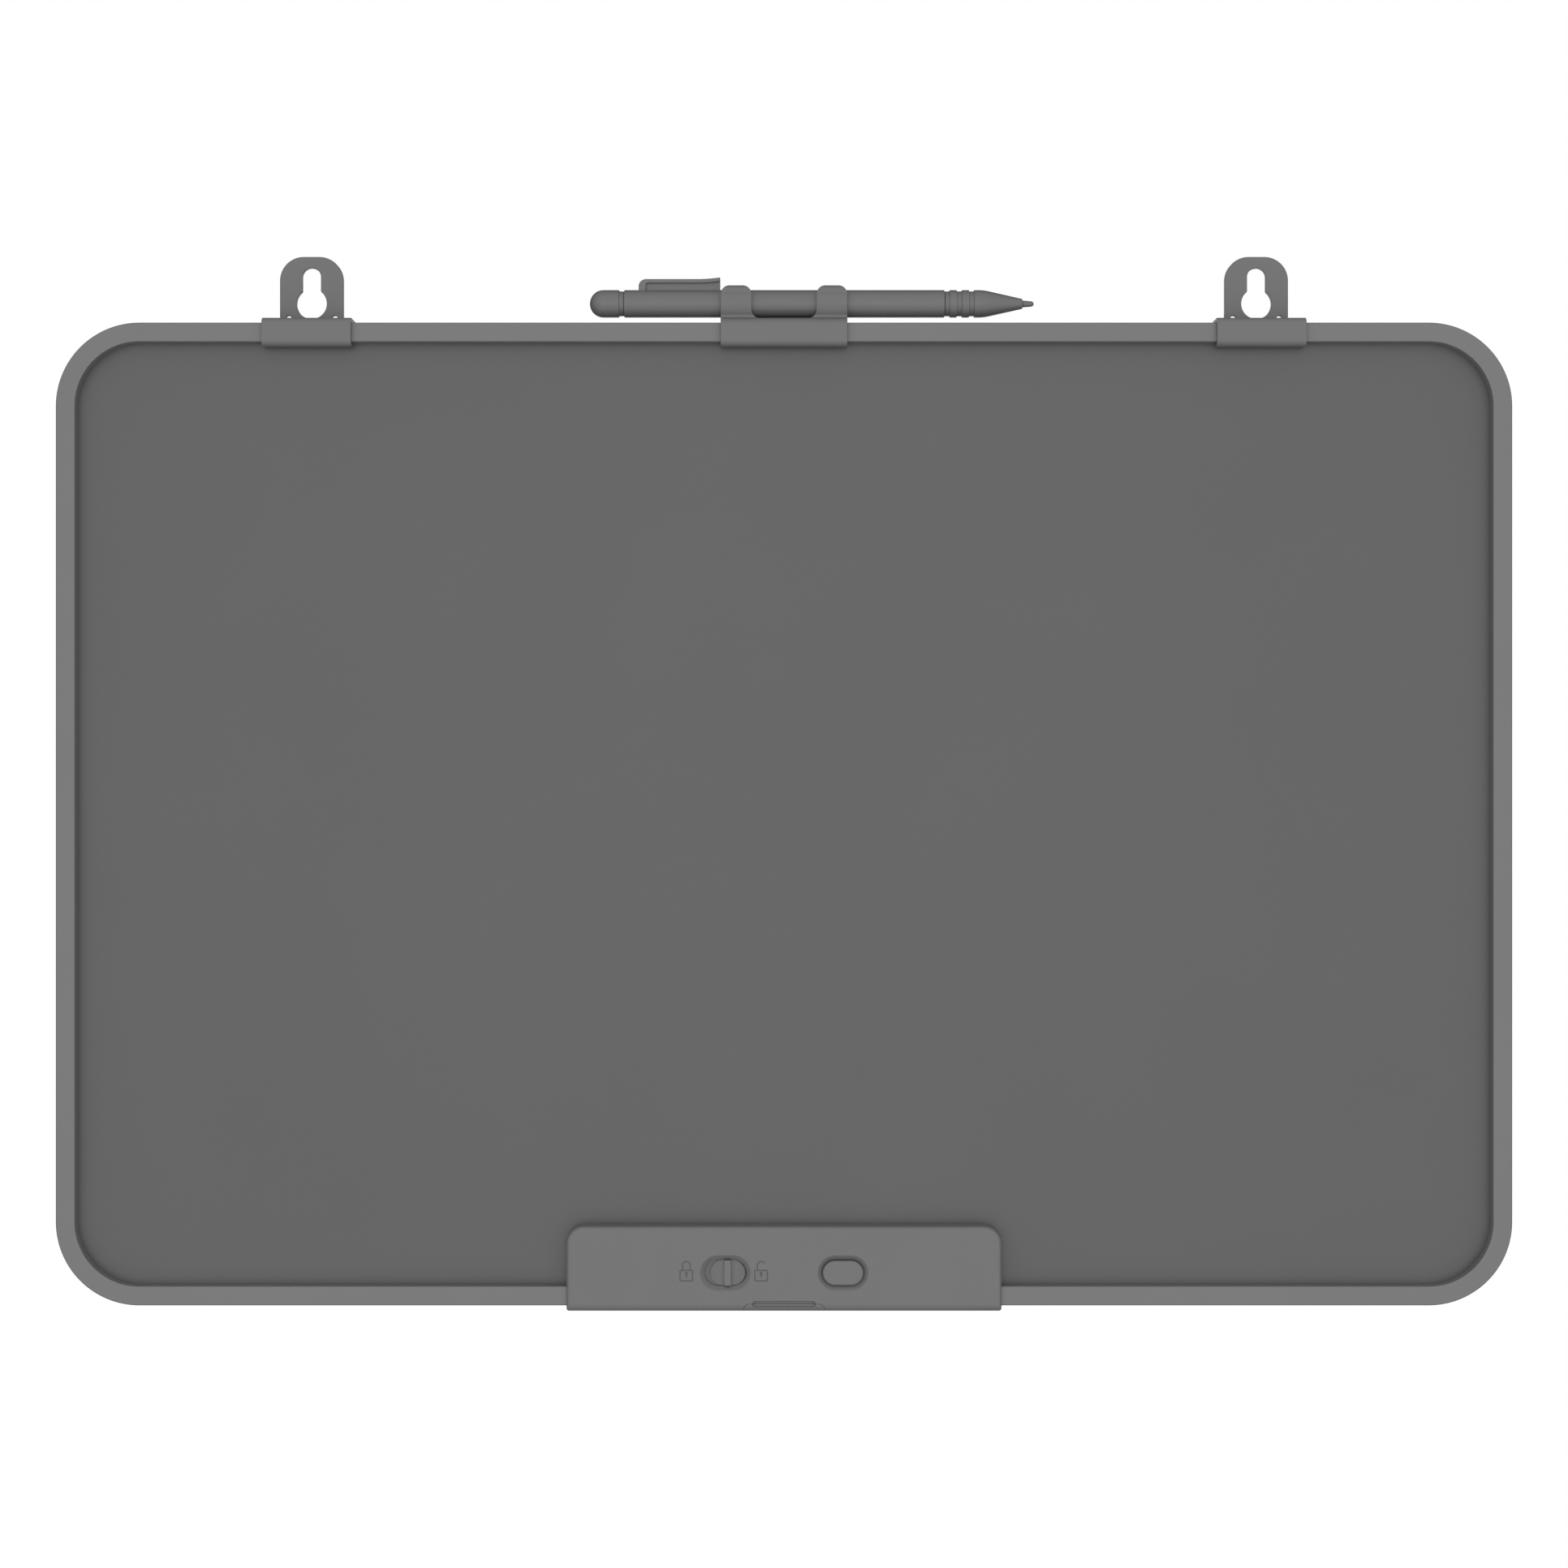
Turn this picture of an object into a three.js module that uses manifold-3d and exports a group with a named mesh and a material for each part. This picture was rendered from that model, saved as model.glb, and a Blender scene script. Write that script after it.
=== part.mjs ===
import * as THREE from "three";
import { mergeVertices } from "three/addons/utils/BufferGeometryUtils.js";
import Module from "manifold-3d";

// Wall-hung LCD writing board with two clip-on keyhole hooks, a clip-on pen holder, a pen
// and a controller clamped over the lower edge.
// Millimetres. X points right, Z up, and the front faces -Y. The wall is the plane y = 0.
// The origin lies on the wall, midway between the hooks, level with the round tops of their slots.

// Fits
const seat = 0.1;
const slip = 0.2;

// Board
const boardWidth = 456.4;
const boardHeight = 308;
const boardCornerRadius = 26.2;
const bezelFace = 6;
const bezelWall = 3;
const bezelOuterRound = 0.5;
const bezelInnerRound = 0.3;
const sheetRecess = 4.2;
const sheetThickness = 1;
const supportThickness = 2.3;
const backThickness = 1.8;

// Clips over the board's upper edge
const clipWall = 1.5;
const clipTopWall = 1.4;
const clipFoot = 1.6;
const clipFootReach = 2.9;
const clipFootRound = 0.6;
const clipFrontRound = 1.5;
const clipLowerRound = 2;
const clipRearRound = 0.8;
const clipCornerRound = 0.5;

// Hooks
const hookFromSide = 78.7;
const hookWidth = 28;
const hookPlate = 2.4;
const hookLeg = 24;
const tabWidth = 20;
const tabTopRadius = 7.5;
const slotAboveBoard = 15.8;
const slotWidth = 5.9;
const slotRim = 3.45;
const keyholeRadius = 4.8;
const keyholeDrop = 8.4;
const nailHoleRadius = 0.93;
const nailHoleSpacing = 14.6;
const nailHoleAboveBoard = 2.75;

// Pen
const penRadius = 4.32;
const penLeft = -61.1;
const penTailLength = 9.3;
const penGrooveWidth = 1.5;
const penGrooveDepth = 0.33;
const penBarrelLength = 100.8;
const penGripLength = 12.2;
const penGripGrooves = 3;
const penGripPitch = 3.85;
const penConeLength = 12.3;
const penConeEndRadius = 1.57;
const penNibLength = 3.6;
const penNibRadius = 1.08;
const penNibTipRadius = 0.85;
const penNibShank = 5;
const penTubeWall = 1;
const penSpigot = 5;
const finRise = 3.3;
const finBar = 1.05;
const finFlare = 0.55;
const finFlareLength = 7;
const finWidth = 3.4;
const finWebWidth = 2;
const finFromTail = 15.4;
const finPillar = 2.3;
const finTopRound = 2.3;

// Pen holder
const holderWidth = 39.7;
const holderRearWall = 1.5;
const holderLeg = 15;
const cradleWall = 1.5;
const cradleFloor = 0.55;
const cradleFit = 0.13;
const fingerWidth = 9.7;
const fingerRise = 5.1;
const fingerRound = 2.9;
const fingerAngle = 30;
const fingerLip = 1.3;
const fingerFlare = 0.3;
const cradleBackAngle = 35;
const windowRound = 2.5;
const windowSill = 0.4;
const holderFillet = 0.6;
const holderTopRound = 0.1;

// Controller housing
const controllerWidth = 136.2;
const controllerHeight = 26.9;
const controllerDrop = 1.7;
const controllerProud = 1.5;
const controllerTopRadius = 5.5;
const controllerBottomRadius = 1;
const controllerEdgeRound = 1.2;
const controllerLowerRound = 1.9;
const controllerRearRound = 0.8;
const shellWall = 1.5;
const rearShellDepth = 6.3;
const frameGrip = 4;
const panelGrip = 2.8;

// Housing screws
const screwFromSide = 11.1;
const screwSpanZ = 11.4;
const screwFromTop = 13.4;
const screwLength = 7;
const screwRadius = 1;
const screwHeadRadius = 1.9;
const screwHeadHeight = 1.3;
const screwSunk = 1.7;
const crossWidth = 0.5;
const crossLength = 2.1;
const crossDepth = 0.7;
const bossWall = 1.6;
const bossFloor = 1.4;

// Controls on the front
const controlsFromTop = 14.8;
const dishLength = 15.9;
const dishHeight = 11.1;
const dishDepth = 1.6;
const dishFloor = 0.4;
const dishPad = 1.3;
const controlFlange = 0.8;
const controlOverlap = 1.2;
const lockX = -18.35;
const lockSlotLength = 12.8;
const lockSlotHeight = 8.2;
const knobLength = 11.2;
const knobSunk = 0.15;
const knobRidge = 2.1;
const scoopRadius = 14;
const scoopShift = 0.6;
const scoopDepth = 0.75;
const leverWidth = 1.5;
const leverHeight = 1.4;
const eraseX = 18.47;
const eraseHoleLength = 13;
const eraseHoleHeight = 8;
const capRound = 0.5;
const capSunk = 0.1;
const capGap = 0.25;

// Electronics
const pcbThickness = 1;
const pcbFromSide = 18.1;
const pcbHeight = 17.5;
const pcbFromTop = 4.3;
const postRadius = 1.6;
const postPinRadius = 0.7;
const postFromEdge = 5;
const postSpanZ = 12;
const lockSwitchLength = 8.6;
const lockSwitchWidth = 3.8;
const lockSwitchHeight = 1.9;
const lockSwitchFloor = 0.6;
const eraseSwitchSize = 6;
const eraseSwitchHeight = 1.5;
const eraseSwitchFloor = 0.5;
const plungerRadius = 1.5;
const plungerSunk = 0.3;
const chipWidth = 6;
const chipHeight = 5;
const chipThickness = 1.4;
const stripWidth = 22;
const stripHeight = 6;
const stripThickness = 0.15;
const stripFromEdge = 21;

// Battery tray and cell
const cellRadius = 10;
const cellThickness = 3.2;
const cellRimStep = 0.5;
const trayWall = 0.9;
const trayFloor = 0.8;
const trayBottom = 1.3;
const trayLipHeight = 2.4;
const trayLipDepth = 1.4;
const trayLipGap = 0.15;
const trayLipWidth = 26.7;
const trayLipTopWidth = 22.2;
const trayThumbHole = 5;
const nailSlotLength = 19.9;
const nailSlotHeight = 2;
const nailSlotDepth = 0.8;
const railWall = 1;
const leafThickness = 0.25;
const leafWidth = 4;
const leafLength = 10;
const terminalWidth = 4.5;
const terminalReach = 3.6;
const terminalPad = 2.8;

// Facets
const weld = 1e-5;
const quarterTurn = Math.PI / 2;
const smallSteps = 5;
const largeSteps = 12;
const roundSteps = 3;
const holeSides = 26;
const postSides = 20;
const pinSides = 12;
const scoopSides = 120;
const penSides = 32;

// Levels through the depth of the board, from the wall to the front
const boardThickness = sheetRecess + sheetThickness + supportThickness + backThickness + 2 * seat;
const boardBack = -(hookPlate + slip);
const boardFront = boardBack - boardThickness;
const boardMiddle = (boardBack + boardFront) / 2;
const sheetFront = boardFront + sheetRecess;
const sheetBack = sheetFront + sheetThickness;
const supportFront = sheetBack + seat;
const supportBack = supportFront + supportThickness;
const backFront = supportBack + seat;

// Levels up the board
const boardTop = -slotAboveBoard;
const boardBottom = boardTop - boardHeight;
const clipTop = boardTop + seat + clipTopWall;
const penHeight = clipTop + cradleFloor + cradleFit + penRadius;

// Places along the board
const hookSpacing = boardWidth - 2 * hookFromSide;
const screwSpanX = controllerWidth - 2 * screwFromSide;
const pcbWidth = controllerWidth - 2 * pcbFromSide;
const postSpanX = pcbWidth - 2 * postFromEdge;
const stripX = pcbWidth / 2 - stripFromEdge;

// Controller box and its levels
const controllerBottom = boardBottom - controllerDrop;
const controllerTop = controllerBottom + controllerHeight;
const controllerFront = boardFront - controllerProud;
const controllerSide = controllerWidth / 2;
const parting = -rearShellDepth;
const controlHeight = controllerTop - controlsFromTop;
const dishFront = controllerFront + dishDepth;
const dishBack = dishFront + dishFloor;
const flangeFront = dishBack + seat;
const flangeBack = flangeFront + controlFlange;
const notchSide = controllerSide - frameGrip;
const notchTop = controllerTop - panelGrip;
const pcbFront = sheetFront;
const pcbBack = pcbFront + pcbThickness;
const pcbTop = controllerTop - pcbFromTop;
const pcbMiddle = pcbTop - pcbHeight / 2;

// Battery tray levels
const trayBack = -(shellWall + slip);
const cellBack = trayBack - trayFloor - seat;
const cellFront = cellBack - cellThickness;
const trayFront = cellFront - seat;
const pocketRadius = cellRadius + seat;
const cellHeight = controllerBottom + trayBottom + trayWall / 2 + pocketRadius;
const trayTop = cellHeight + pocketRadius + trayWall;
const traySide = pocketRadius + trayWall;

// Solids and booleans

const wasm = await Module();
wasm.setup();

function facingOut(geometry) {
  const place = geometry.attributes.position;
  const index = geometry.index.array;
  const a = new THREE.Vector3();
  const b = new THREE.Vector3();
  const c = new THREE.Vector3();
  let volume = 0;
  for (let i = 0; i < index.length; i += 3) {
    a.fromBufferAttribute(place, index[i]);
    b.fromBufferAttribute(place, index[i + 1]);
    c.fromBufferAttribute(place, index[i + 2]);
    volume += a.dot(b.cross(c));
  }
  if (volume < 0) {
    for (let i = 0; i < index.length; i += 3) {
      [index[i], index[i + 1]] = [index[i + 1], index[i]];
    }
  }
  return geometry;
}

// A three.js geometry as a solid that can be joined and cut
function solid(geometry) {
  const bare = geometry.clone();
  bare.deleteAttribute("normal");
  bare.deleteAttribute("uv");
  const merged = mergeVertices(bare, weld);
  const corners = merged.index.array;
  const kept = [];
  for (let i = 0; i < corners.length; i += 3) {
    const [a, b, c] = corners.slice(i, i + 3);
    if (a !== b && b !== c && c !== a) {
      kept.push(a, b, c);
    }
  }
  return new wasm.Manifold(new wasm.Mesh({
    numProp: 3,
    vertProperties: new Float32Array(merged.attributes.position.array),
    triVerts: new Uint32Array(kept),
  }));
}

function geometryOf(body) {
  const mesh = body.getMesh();
  const geometry = new THREE.BufferGeometry();
  geometry.setAttribute("position", new THREE.BufferAttribute(new Float32Array(mesh.vertProperties), 3));
  geometry.setIndex(new THREE.BufferAttribute(new Uint32Array(mesh.triVerts), 1));
  geometry.computeVertexNormals();
  return geometry;
}

function joined(...bodies) {
  return bodies.reduce((whole, piece) => whole.add(piece));
}

function without(body, ...cutters) {
  return cutters.reduce((left, cutter) => left.subtract(cutter), body);
}

// A closed skin over rings of points. Its ends are capped, or its last ring joins the first.
function skin(rings, joinsEnds = false) {
  const count = rings[0].length;
  const faces = [];
  const bands = joinsEnds ? rings.length : rings.length - 1;
  for (let r = 0; r < bands; r++) {
    const here = r * count;
    const next = ((r + 1) % rings.length) * count;
    for (let i = 0; i < count; i++) {
      const j = (i + 1) % count;
      faces.push(here + i, next + j, here + j);
      faces.push(here + i, next + i, next + j);
    }
  }
  if (!joinsEnds) {
    const last = bands * count;
    for (let i = 1; i < count - 1; i++) {
      faces.push(0, i, i + 1);
      faces.push(last, last + i + 1, last + i);
    }
  }
  const geometry = new THREE.BufferGeometry().setFromPoints(rings.flat());
  geometry.setIndex(faces);
  return solid(facingOut(geometry));
}

// Outlines in the plane of the board, anticlockwise from the front

function roundedOutline(left, right, bottom, top, bottomRadius, topRadius, steps) {
  const points = [];
  const arc = (x, z, radius, start) => {
    for (let k = 0; k <= steps; k++) {
      const angle = start + (k / steps) * quarterTurn;
      points.push(new THREE.Vector2(x + radius * Math.cos(angle), z + radius * Math.sin(angle)));
    }
  };
  arc(right - bottomRadius, bottom + bottomRadius, bottomRadius, -quarterTurn);
  arc(right - topRadius, top - topRadius, topRadius, 0);
  arc(left + topRadius, top - topRadius, topRadius, quarterTurn);
  arc(left + bottomRadius, bottom + bottomRadius, bottomRadius, Math.PI);
  return points;
}

function stadium(x, z, length, height) {
  const radius = height / 2;
  return roundedOutline(x - length / 2, x + length / 2, z - radius, z + radius, radius, radius, smallSteps);
}

function atDepth(outline, y) {
  return outline.map((point) => new THREE.Vector3(point.x, y, point.y));
}

// A convex outline carried straight through the depth
function slab(outline, front, back) {
  return skin([atDepth(outline, front), atDepth(outline, back)]);
}

// Shapes drawn with arcs and carried along one axis

const alongX = new THREE.Matrix4().makeBasis(
  new THREE.Vector3(0, 1, 0),
  new THREE.Vector3(0, 0, 1),
  new THREE.Vector3(1, 0, 0),
);

// A quarter circle added to a shape, anticlockwise from its start angle
function quarter(shape, x, y, radius, start) {
  shape.absarc(x, y, radius, start, start + quarterTurn, false);
}

// A shape drawn in y and z, carried along X
function acrossBoard(shape, left, right) {
  const settings = { depth: right - left, bevelEnabled: false, curveSegments: smallSteps };
  return solid(new THREE.ExtrudeGeometry(shape, settings).applyMatrix4(alongX).translate(left, 0, 0));
}

// A shape drawn in x and z, carried through the depth
function throughBoard(shape, front, back) {
  const settings = { depth: back - front, bevelEnabled: false, curveSegments: smallSteps };
  return solid(new THREE.ExtrudeGeometry(shape, settings).rotateX(quarterTurn).translate(0, back, 0));
}

function block(left, right, front, back, bottom, top) {
  const geometry = new THREE.BoxGeometry(right - left, back - front, top - bottom);
  return solid(geometry.translate((left + right) / 2, (front + back) / 2, (bottom + top) / 2));
}

// A round peg whose axis runs through the depth
function peg(x, z, radius, front, back, sides = holeSides) {
  const geometry = new THREE.CylinderGeometry(radius, radius, back - front, sides);
  return solid(geometry.translate(x, (front + back) / 2, z));
}

// Writing board

function boardOutline(inset, steps = largeSteps) {
  const side = boardWidth / 2 - inset;
  const radius = boardCornerRadius - inset;
  return roundedOutline(-side, side, boardBottom + inset, boardTop - inset, radius, radius, steps);
}

// The bezel's section as distance in from the outer edge and depth
function bezelSection() {
  const lipBack = sheetFront - seat;
  const section = [];
  const round = (inset, y, radius, start, end) => {
    for (let k = 0; k <= roundSteps; k++) {
      const angle = start + ((end - start) * k) / roundSteps;
      section.push([inset + radius * Math.cos(angle), y + radius * Math.sin(angle)]);
    }
  };
  round(bezelOuterRound, boardBack - bezelOuterRound, bezelOuterRound, quarterTurn, Math.PI);
  round(bezelOuterRound, boardFront + bezelOuterRound, bezelOuterRound, Math.PI, 3 * quarterTurn);
  round(bezelFace - bezelInnerRound, boardFront + bezelInnerRound, bezelInnerRound, -quarterTurn, 0);
  section.push([bezelFace, lipBack], [bezelWall, lipBack], [bezelWall, boardBack]);
  return section;
}

// The lower edge of every board layer is open where the controller's works lie
function controllerNotch(top) {
  const past = bezelFace;
  return block(-notchSide, notchSide, boardFront - past, boardBack + past, controllerBottom - past, top);
}

function frameBezel() {
  const ring = skin(bezelSection().map(([inset, y]) => atDepth(boardOutline(inset), y)), true);
  return without(ring, controllerNotch(boardBottom + 2 * bezelFace));
}

function panel(front, back) {
  return without(slab(boardOutline(bezelWall + slip), front, back), controllerNotch(notchTop));
}

// Clips

// Section of a clip: wall over the bezel, foot round the bezel's inner edge, leg behind the board
function clipSection(rearFront, rearBack, legLength) {
  const front = boardFront - seat - clipWall;
  const inner = boardFront - seat;
  const under = boardTop + seat;
  const footTop = boardTop - bezelFace - seat;
  const footBottom = footTop - clipFoot;
  const footEnd = boardFront + clipFootReach;
  const legBottom = boardTop - legLength;
  const legRound = (rearBack - rearFront) / 2;
  const shape = new THREE.Shape();
  shape.moveTo(inner, footTop);
  shape.lineTo(inner, under);
  shape.lineTo(rearFront, under);
  shape.lineTo(rearFront, legBottom + legRound);
  shape.absarc(rearFront + legRound, legBottom + legRound, legRound, Math.PI, 2 * Math.PI, false);
  shape.lineTo(rearBack, clipTop - clipRearRound);
  quarter(shape, rearBack - clipRearRound, clipTop - clipRearRound, clipRearRound, 0);
  shape.lineTo(front + clipFrontRound, clipTop);
  quarter(shape, front + clipFrontRound, clipTop - clipFrontRound, clipFrontRound, quarterTurn);
  shape.lineTo(front, footBottom + clipLowerRound);
  quarter(shape, front + clipLowerRound, footBottom + clipLowerRound, clipLowerRound, Math.PI);
  shape.lineTo(footEnd - clipFootRound, footBottom);
  quarter(shape, footEnd - clipFootRound, footBottom + clipFootRound, clipFootRound, -quarterTurn);
  shape.lineTo(footEnd, footTop);
  shape.closePath();
  return shape;
}

// A clip as wide as its piece, with softened corners as seen from the front
function clip(middle, width, rearFront, rearBack, legLength, topRound) {
  const left = middle - width / 2;
  const right = middle + width / 2;
  const body = acrossBoard(clipSection(rearFront, rearBack, legLength), left, right);
  const front = boardFront - 2 * clipWall;
  const bottom = boardTop - legLength;
  const faceBottom = boardTop - bezelFace - seat - clipFoot;
  const rear = roundedOutline(left, right, bottom, clipTop, clipCornerRound, topRound, roundSteps);
  const face = roundedOutline(left, right, faceBottom, clipTop, clipCornerRound, topRound, roundSteps);
  const split = boardMiddle;
  return body.intersect(joined(slab(face, front, split + seat), slab(rear, split, -boardFront)));
}

// A flat tab with a keyhole and two nail holes stands on the clip, against the wall
function hook(middle) {
  const top = slotWidth / 2 + slotRim;
  const side = tabWidth / 2;
  const bottom = boardTop - hookLeg / 2;
  const tab = new THREE.Shape();
  tab.moveTo(middle - side, bottom);
  tab.lineTo(middle + side, bottom);
  tab.lineTo(middle + side, top - tabTopRadius);
  quarter(tab, middle + side - tabTopRadius, top - tabTopRadius, tabTopRadius, 0);
  quarter(tab, middle - side + tabTopRadius, top - tabTopRadius, tabTopRadius, quarterTurn);
  tab.closePath();
  const front = -hookPlate - slip;
  const slot = stadiumUpright(middle, -keyholeDrop, slotWidth / 2, slotWidth);
  const body = joined(
    clip(middle, hookWidth, -hookPlate, 0, hookLeg, clipCornerRound),
    throughBoard(tab, -hookPlate, 0),
  );
  const nailHeight = boardTop + nailHoleAboveBoard;
  const nailHoles = [-1, 1].map((way) => (
    peg(middle + (way * nailHoleSpacing) / 2, nailHeight, nailHoleRadius, front, slip, pinSides)
  ));
  return without(
    body,
    peg(middle, -keyholeDrop, keyholeRadius, front, slip),
    slab(slot, front, slip),
    ...nailHoles,
  );
}

// A slot with a round top, drawn from its lower end up to its crown
function stadiumUpright(x, bottom, top, width) {
  const radius = width / 2;
  return roundedOutline(x - radius, x + radius, bottom, top, weld, radius, smallSteps);
}

// Pen holder

// Section of the cradle: low back, round floor, front wall that ends in a lip leaning forward
function cradleSection() {
  const inner = penRadius + cradleFit;
  const outer = inner + cradleWall;
  const tip = THREE.MathUtils.degToRad(180 - fingerAngle);
  const back = THREE.MathUtils.degToRad(cradleBackAngle);
  const lipFront = boardMiddle + outer * Math.cos(tip);
  const lipBack = lipFront + fingerLip;
  const innerTip = Math.acos((lipBack - boardMiddle) / inner);
  const middleRadius = (inner + outer) / 2;
  const lipRound = fingerLip / 2;
  const shape = new THREE.Shape();
  shape.absarc(boardMiddle, penHeight, outer, tip, back + 2 * Math.PI, false);
  const endY = boardMiddle + middleRadius * Math.cos(back);
  const endZ = penHeight + middleRadius * Math.sin(back);
  shape.absarc(endY, endZ, cradleWall / 2, back, back + Math.PI, false);
  shape.absarc(boardMiddle, penHeight, inner, back, innerTip, true);
  const lipHeight = penHeight + fingerRise - lipRound;
  shape.lineTo(lipBack - fingerFlare, lipHeight);
  shape.absarc(lipBack - fingerFlare - lipRound, lipHeight, lipRound, 0, Math.PI, false);
  shape.closePath();
  return shape;
}

// The cradle seen from the front: two fingers with rounded tops and a window between them
function fingersOutline() {
  const half = holderWidth / 2;
  const gap = half - fingerWidth;
  const top = penHeight + fingerRise;
  const sill = clipTop + windowSill;
  const shape = new THREE.Shape();
  shape.moveTo(-half, boardTop);
  shape.lineTo(half, boardTop);
  shape.lineTo(half, top - fingerRound);
  quarter(shape, half - fingerRound, top - fingerRound, fingerRound, 0);
  quarter(shape, gap + fingerRound, top - fingerRound, fingerRound, quarterTurn);
  shape.lineTo(gap, sill + windowRound);
  shape.absarc(gap - windowRound, sill + windowRound, windowRound, 0, -quarterTurn, true);
  shape.lineTo(-gap + windowRound, sill);
  shape.absarc(-gap + windowRound, sill + windowRound, windowRound, -quarterTurn, -Math.PI, true);
  shape.lineTo(-gap, top - fingerRound);
  quarter(shape, -gap - fingerRound, top - fingerRound, fingerRound, 0);
  quarter(shape, -half + fingerRound, top - fingerRound, fingerRound, quarterTurn);
  shape.closePath();
  return shape;
}

// The hollow corner between cradle and clip, filled along both of its sides
function cradleFillets() {
  const outer = penRadius + cradleFit + cradleWall;
  const rise = clipTop + holderFillet - penHeight;
  const reach = Math.sqrt((outer + holderFillet) ** 2 - rise ** 2);
  return [-1, 1].map((way) => {
    const shape = new THREE.Shape();
    const centre = boardMiddle + way * reach;
    shape.moveTo(centre, clipTop);
    const up = Math.atan2(-rise, -way * reach);
    shape.absarc(centre, clipTop + holderFillet, holderFillet, -quarterTurn, up, way > 0);
    shape.lineTo(boardMiddle, clipTop);
    shape.lineTo(boardMiddle, clipTop - clipTopWall / 2);
    shape.lineTo(centre, clipTop - clipTopWall / 2);
    shape.closePath();
    return acrossBoard(shape, -holderWidth / 2, holderWidth / 2);
  });
}

function penHolder() {
  const half = holderWidth / 2;
  const ring = acrossBoard(cradleSection(), -half, half);
  const past = boardThickness;
  const overlap = seat / 2;
  const front = ring.intersect(throughBoard(fingersOutline(), boardMiddle - past, boardMiddle + overlap));
  const rearHalf = block(-half, half, boardMiddle, boardMiddle + past, boardTop, penHeight + past);
  const back = ring.intersect(rearHalf);
  const rear = -hookPlate;
  const bore = acrossBoard(
    new THREE.Shape().absarc(boardMiddle, penHeight, penRadius + cradleFit, 0, 2 * Math.PI, false),
    -holderWidth,
    holderWidth,
  );
  const base = clip(0, holderWidth, rear, rear + holderRearWall, holderLeg, holderTopRound);
  return without(joined(base, front, back, ...cradleFillets()), bore);
}

// Pen

// A revolved pen piece from pairs of distance along the pen and radius
function turned(profile) {
  const points = profile.map(([along, radius]) => new THREE.Vector2(radius, along));
  const lathe = new THREE.LatheGeometry(points, penSides).rotateZ(-quarterTurn);
  const ready = mergeVertices(lathe, weld);
  return solid(facingOut(ready).translate(0, boardMiddle, penHeight));
}

const tailEnd = penLeft + penTailLength;
const barrelStart = tailEnd + penGrooveWidth;
const barrelEnd = barrelStart + penBarrelLength;
const gripEnd = barrelEnd + penGripLength;
const coneEnd = gripEnd + penConeLength;
const boreRadius = penRadius - penTubeWall;

function penTailCap() {
  const profile = [];
  const steps = 2 * smallSteps;
  for (let k = 0; k <= steps; k++) {
    const angle = (k / steps) * quarterTurn;
    profile.push([penLeft + penRadius * (1 - Math.cos(angle)), penRadius * Math.sin(angle)]);
  }
  const neck = penRadius - penGrooveDepth;
  profile.push([tailEnd, penRadius], [tailEnd, neck], [barrelStart, neck]);
  profile.push([barrelStart, boreRadius - seat], [barrelStart + penSpigot, boreRadius - seat]);
  profile.push([barrelStart + penSpigot, 0]);
  return turned(profile);
}

// The pocket clip: a bar that flares up at its free end, on a pillar and a thin web
function penFin() {
  const left = penLeft + finFromTail;
  const right = -holderWidth / 2 - slip;
  const top = penHeight + penRadius + finRise;
  const root = penHeight + penRadius - penTubeWall / 2;
  const flareStart = right - finFlareLength;
  const web = new THREE.Shape();
  web.moveTo(left, root);
  web.lineTo(right, root);
  web.lineTo(right, top);
  web.lineTo(flareStart, top - finBar / 2);
  web.lineTo(left + finTopRound, top - finBar / 2);
  web.lineTo(left, top - finTopRound);
  web.closePath();
  const bar = new THREE.Shape();
  bar.moveTo(left, root);
  bar.lineTo(left + finPillar, root);
  bar.lineTo(left + finPillar, top - finBar);
  bar.lineTo(flareStart, top - finBar);
  bar.quadraticCurveTo(right - finFlareLength / 2, top - finBar, right, top - finBar + finFlare);
  bar.lineTo(right, top + finFlare);
  bar.quadraticCurveTo(right - finFlareLength / 2, top, flareStart, top);
  quarter(bar, left + finTopRound, top - finTopRound, finTopRound, quarterTurn);
  bar.closePath();
  return joined(
    throughBoard(web, boardMiddle - finWebWidth / 2, boardMiddle + finWebWidth / 2),
    throughBoard(bar, boardMiddle - finWidth / 2, boardMiddle + finWidth / 2),
  );
}

function penBarrel() {
  const start = barrelStart + seat / 2;
  const end = barrelEnd - seat / 2;
  const outside = [[start, boreRadius], [start, penRadius], [end, penRadius]];
  const inside = [[end, boreRadius], [start, boreRadius]];
  return joined(turned([...outside, ...inside]), penFin());
}

function penNose() {
  const neck = penRadius - penGrooveDepth;
  const spigot = boreRadius - seat;
  const socket = penNibRadius;
  const profile = [[barrelEnd - penSpigot, 0], [barrelEnd - penSpigot, spigot], [barrelEnd, spigot]];
  for (let k = 0; k < penGripGrooves; k++) {
    const start = barrelEnd + k * penGripPitch;
    profile.push([start, neck], [start + penGrooveWidth, neck], [start + penGrooveWidth, penRadius]);
    const next = k < penGripGrooves - 1 ? start + penGripPitch : gripEnd;
    profile.push([next, penRadius]);
  }
  profile.push([coneEnd, penConeEndRadius], [coneEnd, socket]);
  profile.push([coneEnd - penNibShank, socket], [coneEnd - penNibShank, 0]);
  return turned(profile);
}

function penNib() {
  const shankRadius = penNibRadius - seat;
  const start = coneEnd - penNibShank + seat;
  const tip = coneEnd + penNibLength;
  const profile = [[start, 0], [start, shankRadius], [coneEnd + seat, shankRadius]];
  profile.push([coneEnd + seat, penNibRadius]);
  for (let k = 0; k <= roundSteps; k++) {
    const angle = (k / roundSteps) * quarterTurn;
    const along = tip - penNibTipRadius * (1 - Math.sin(angle));
    profile.push([along, k === roundSteps ? 0 : penNibTipRadius * Math.cos(angle)]);
  }
  return turned(profile);
}

// Controller housing

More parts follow.
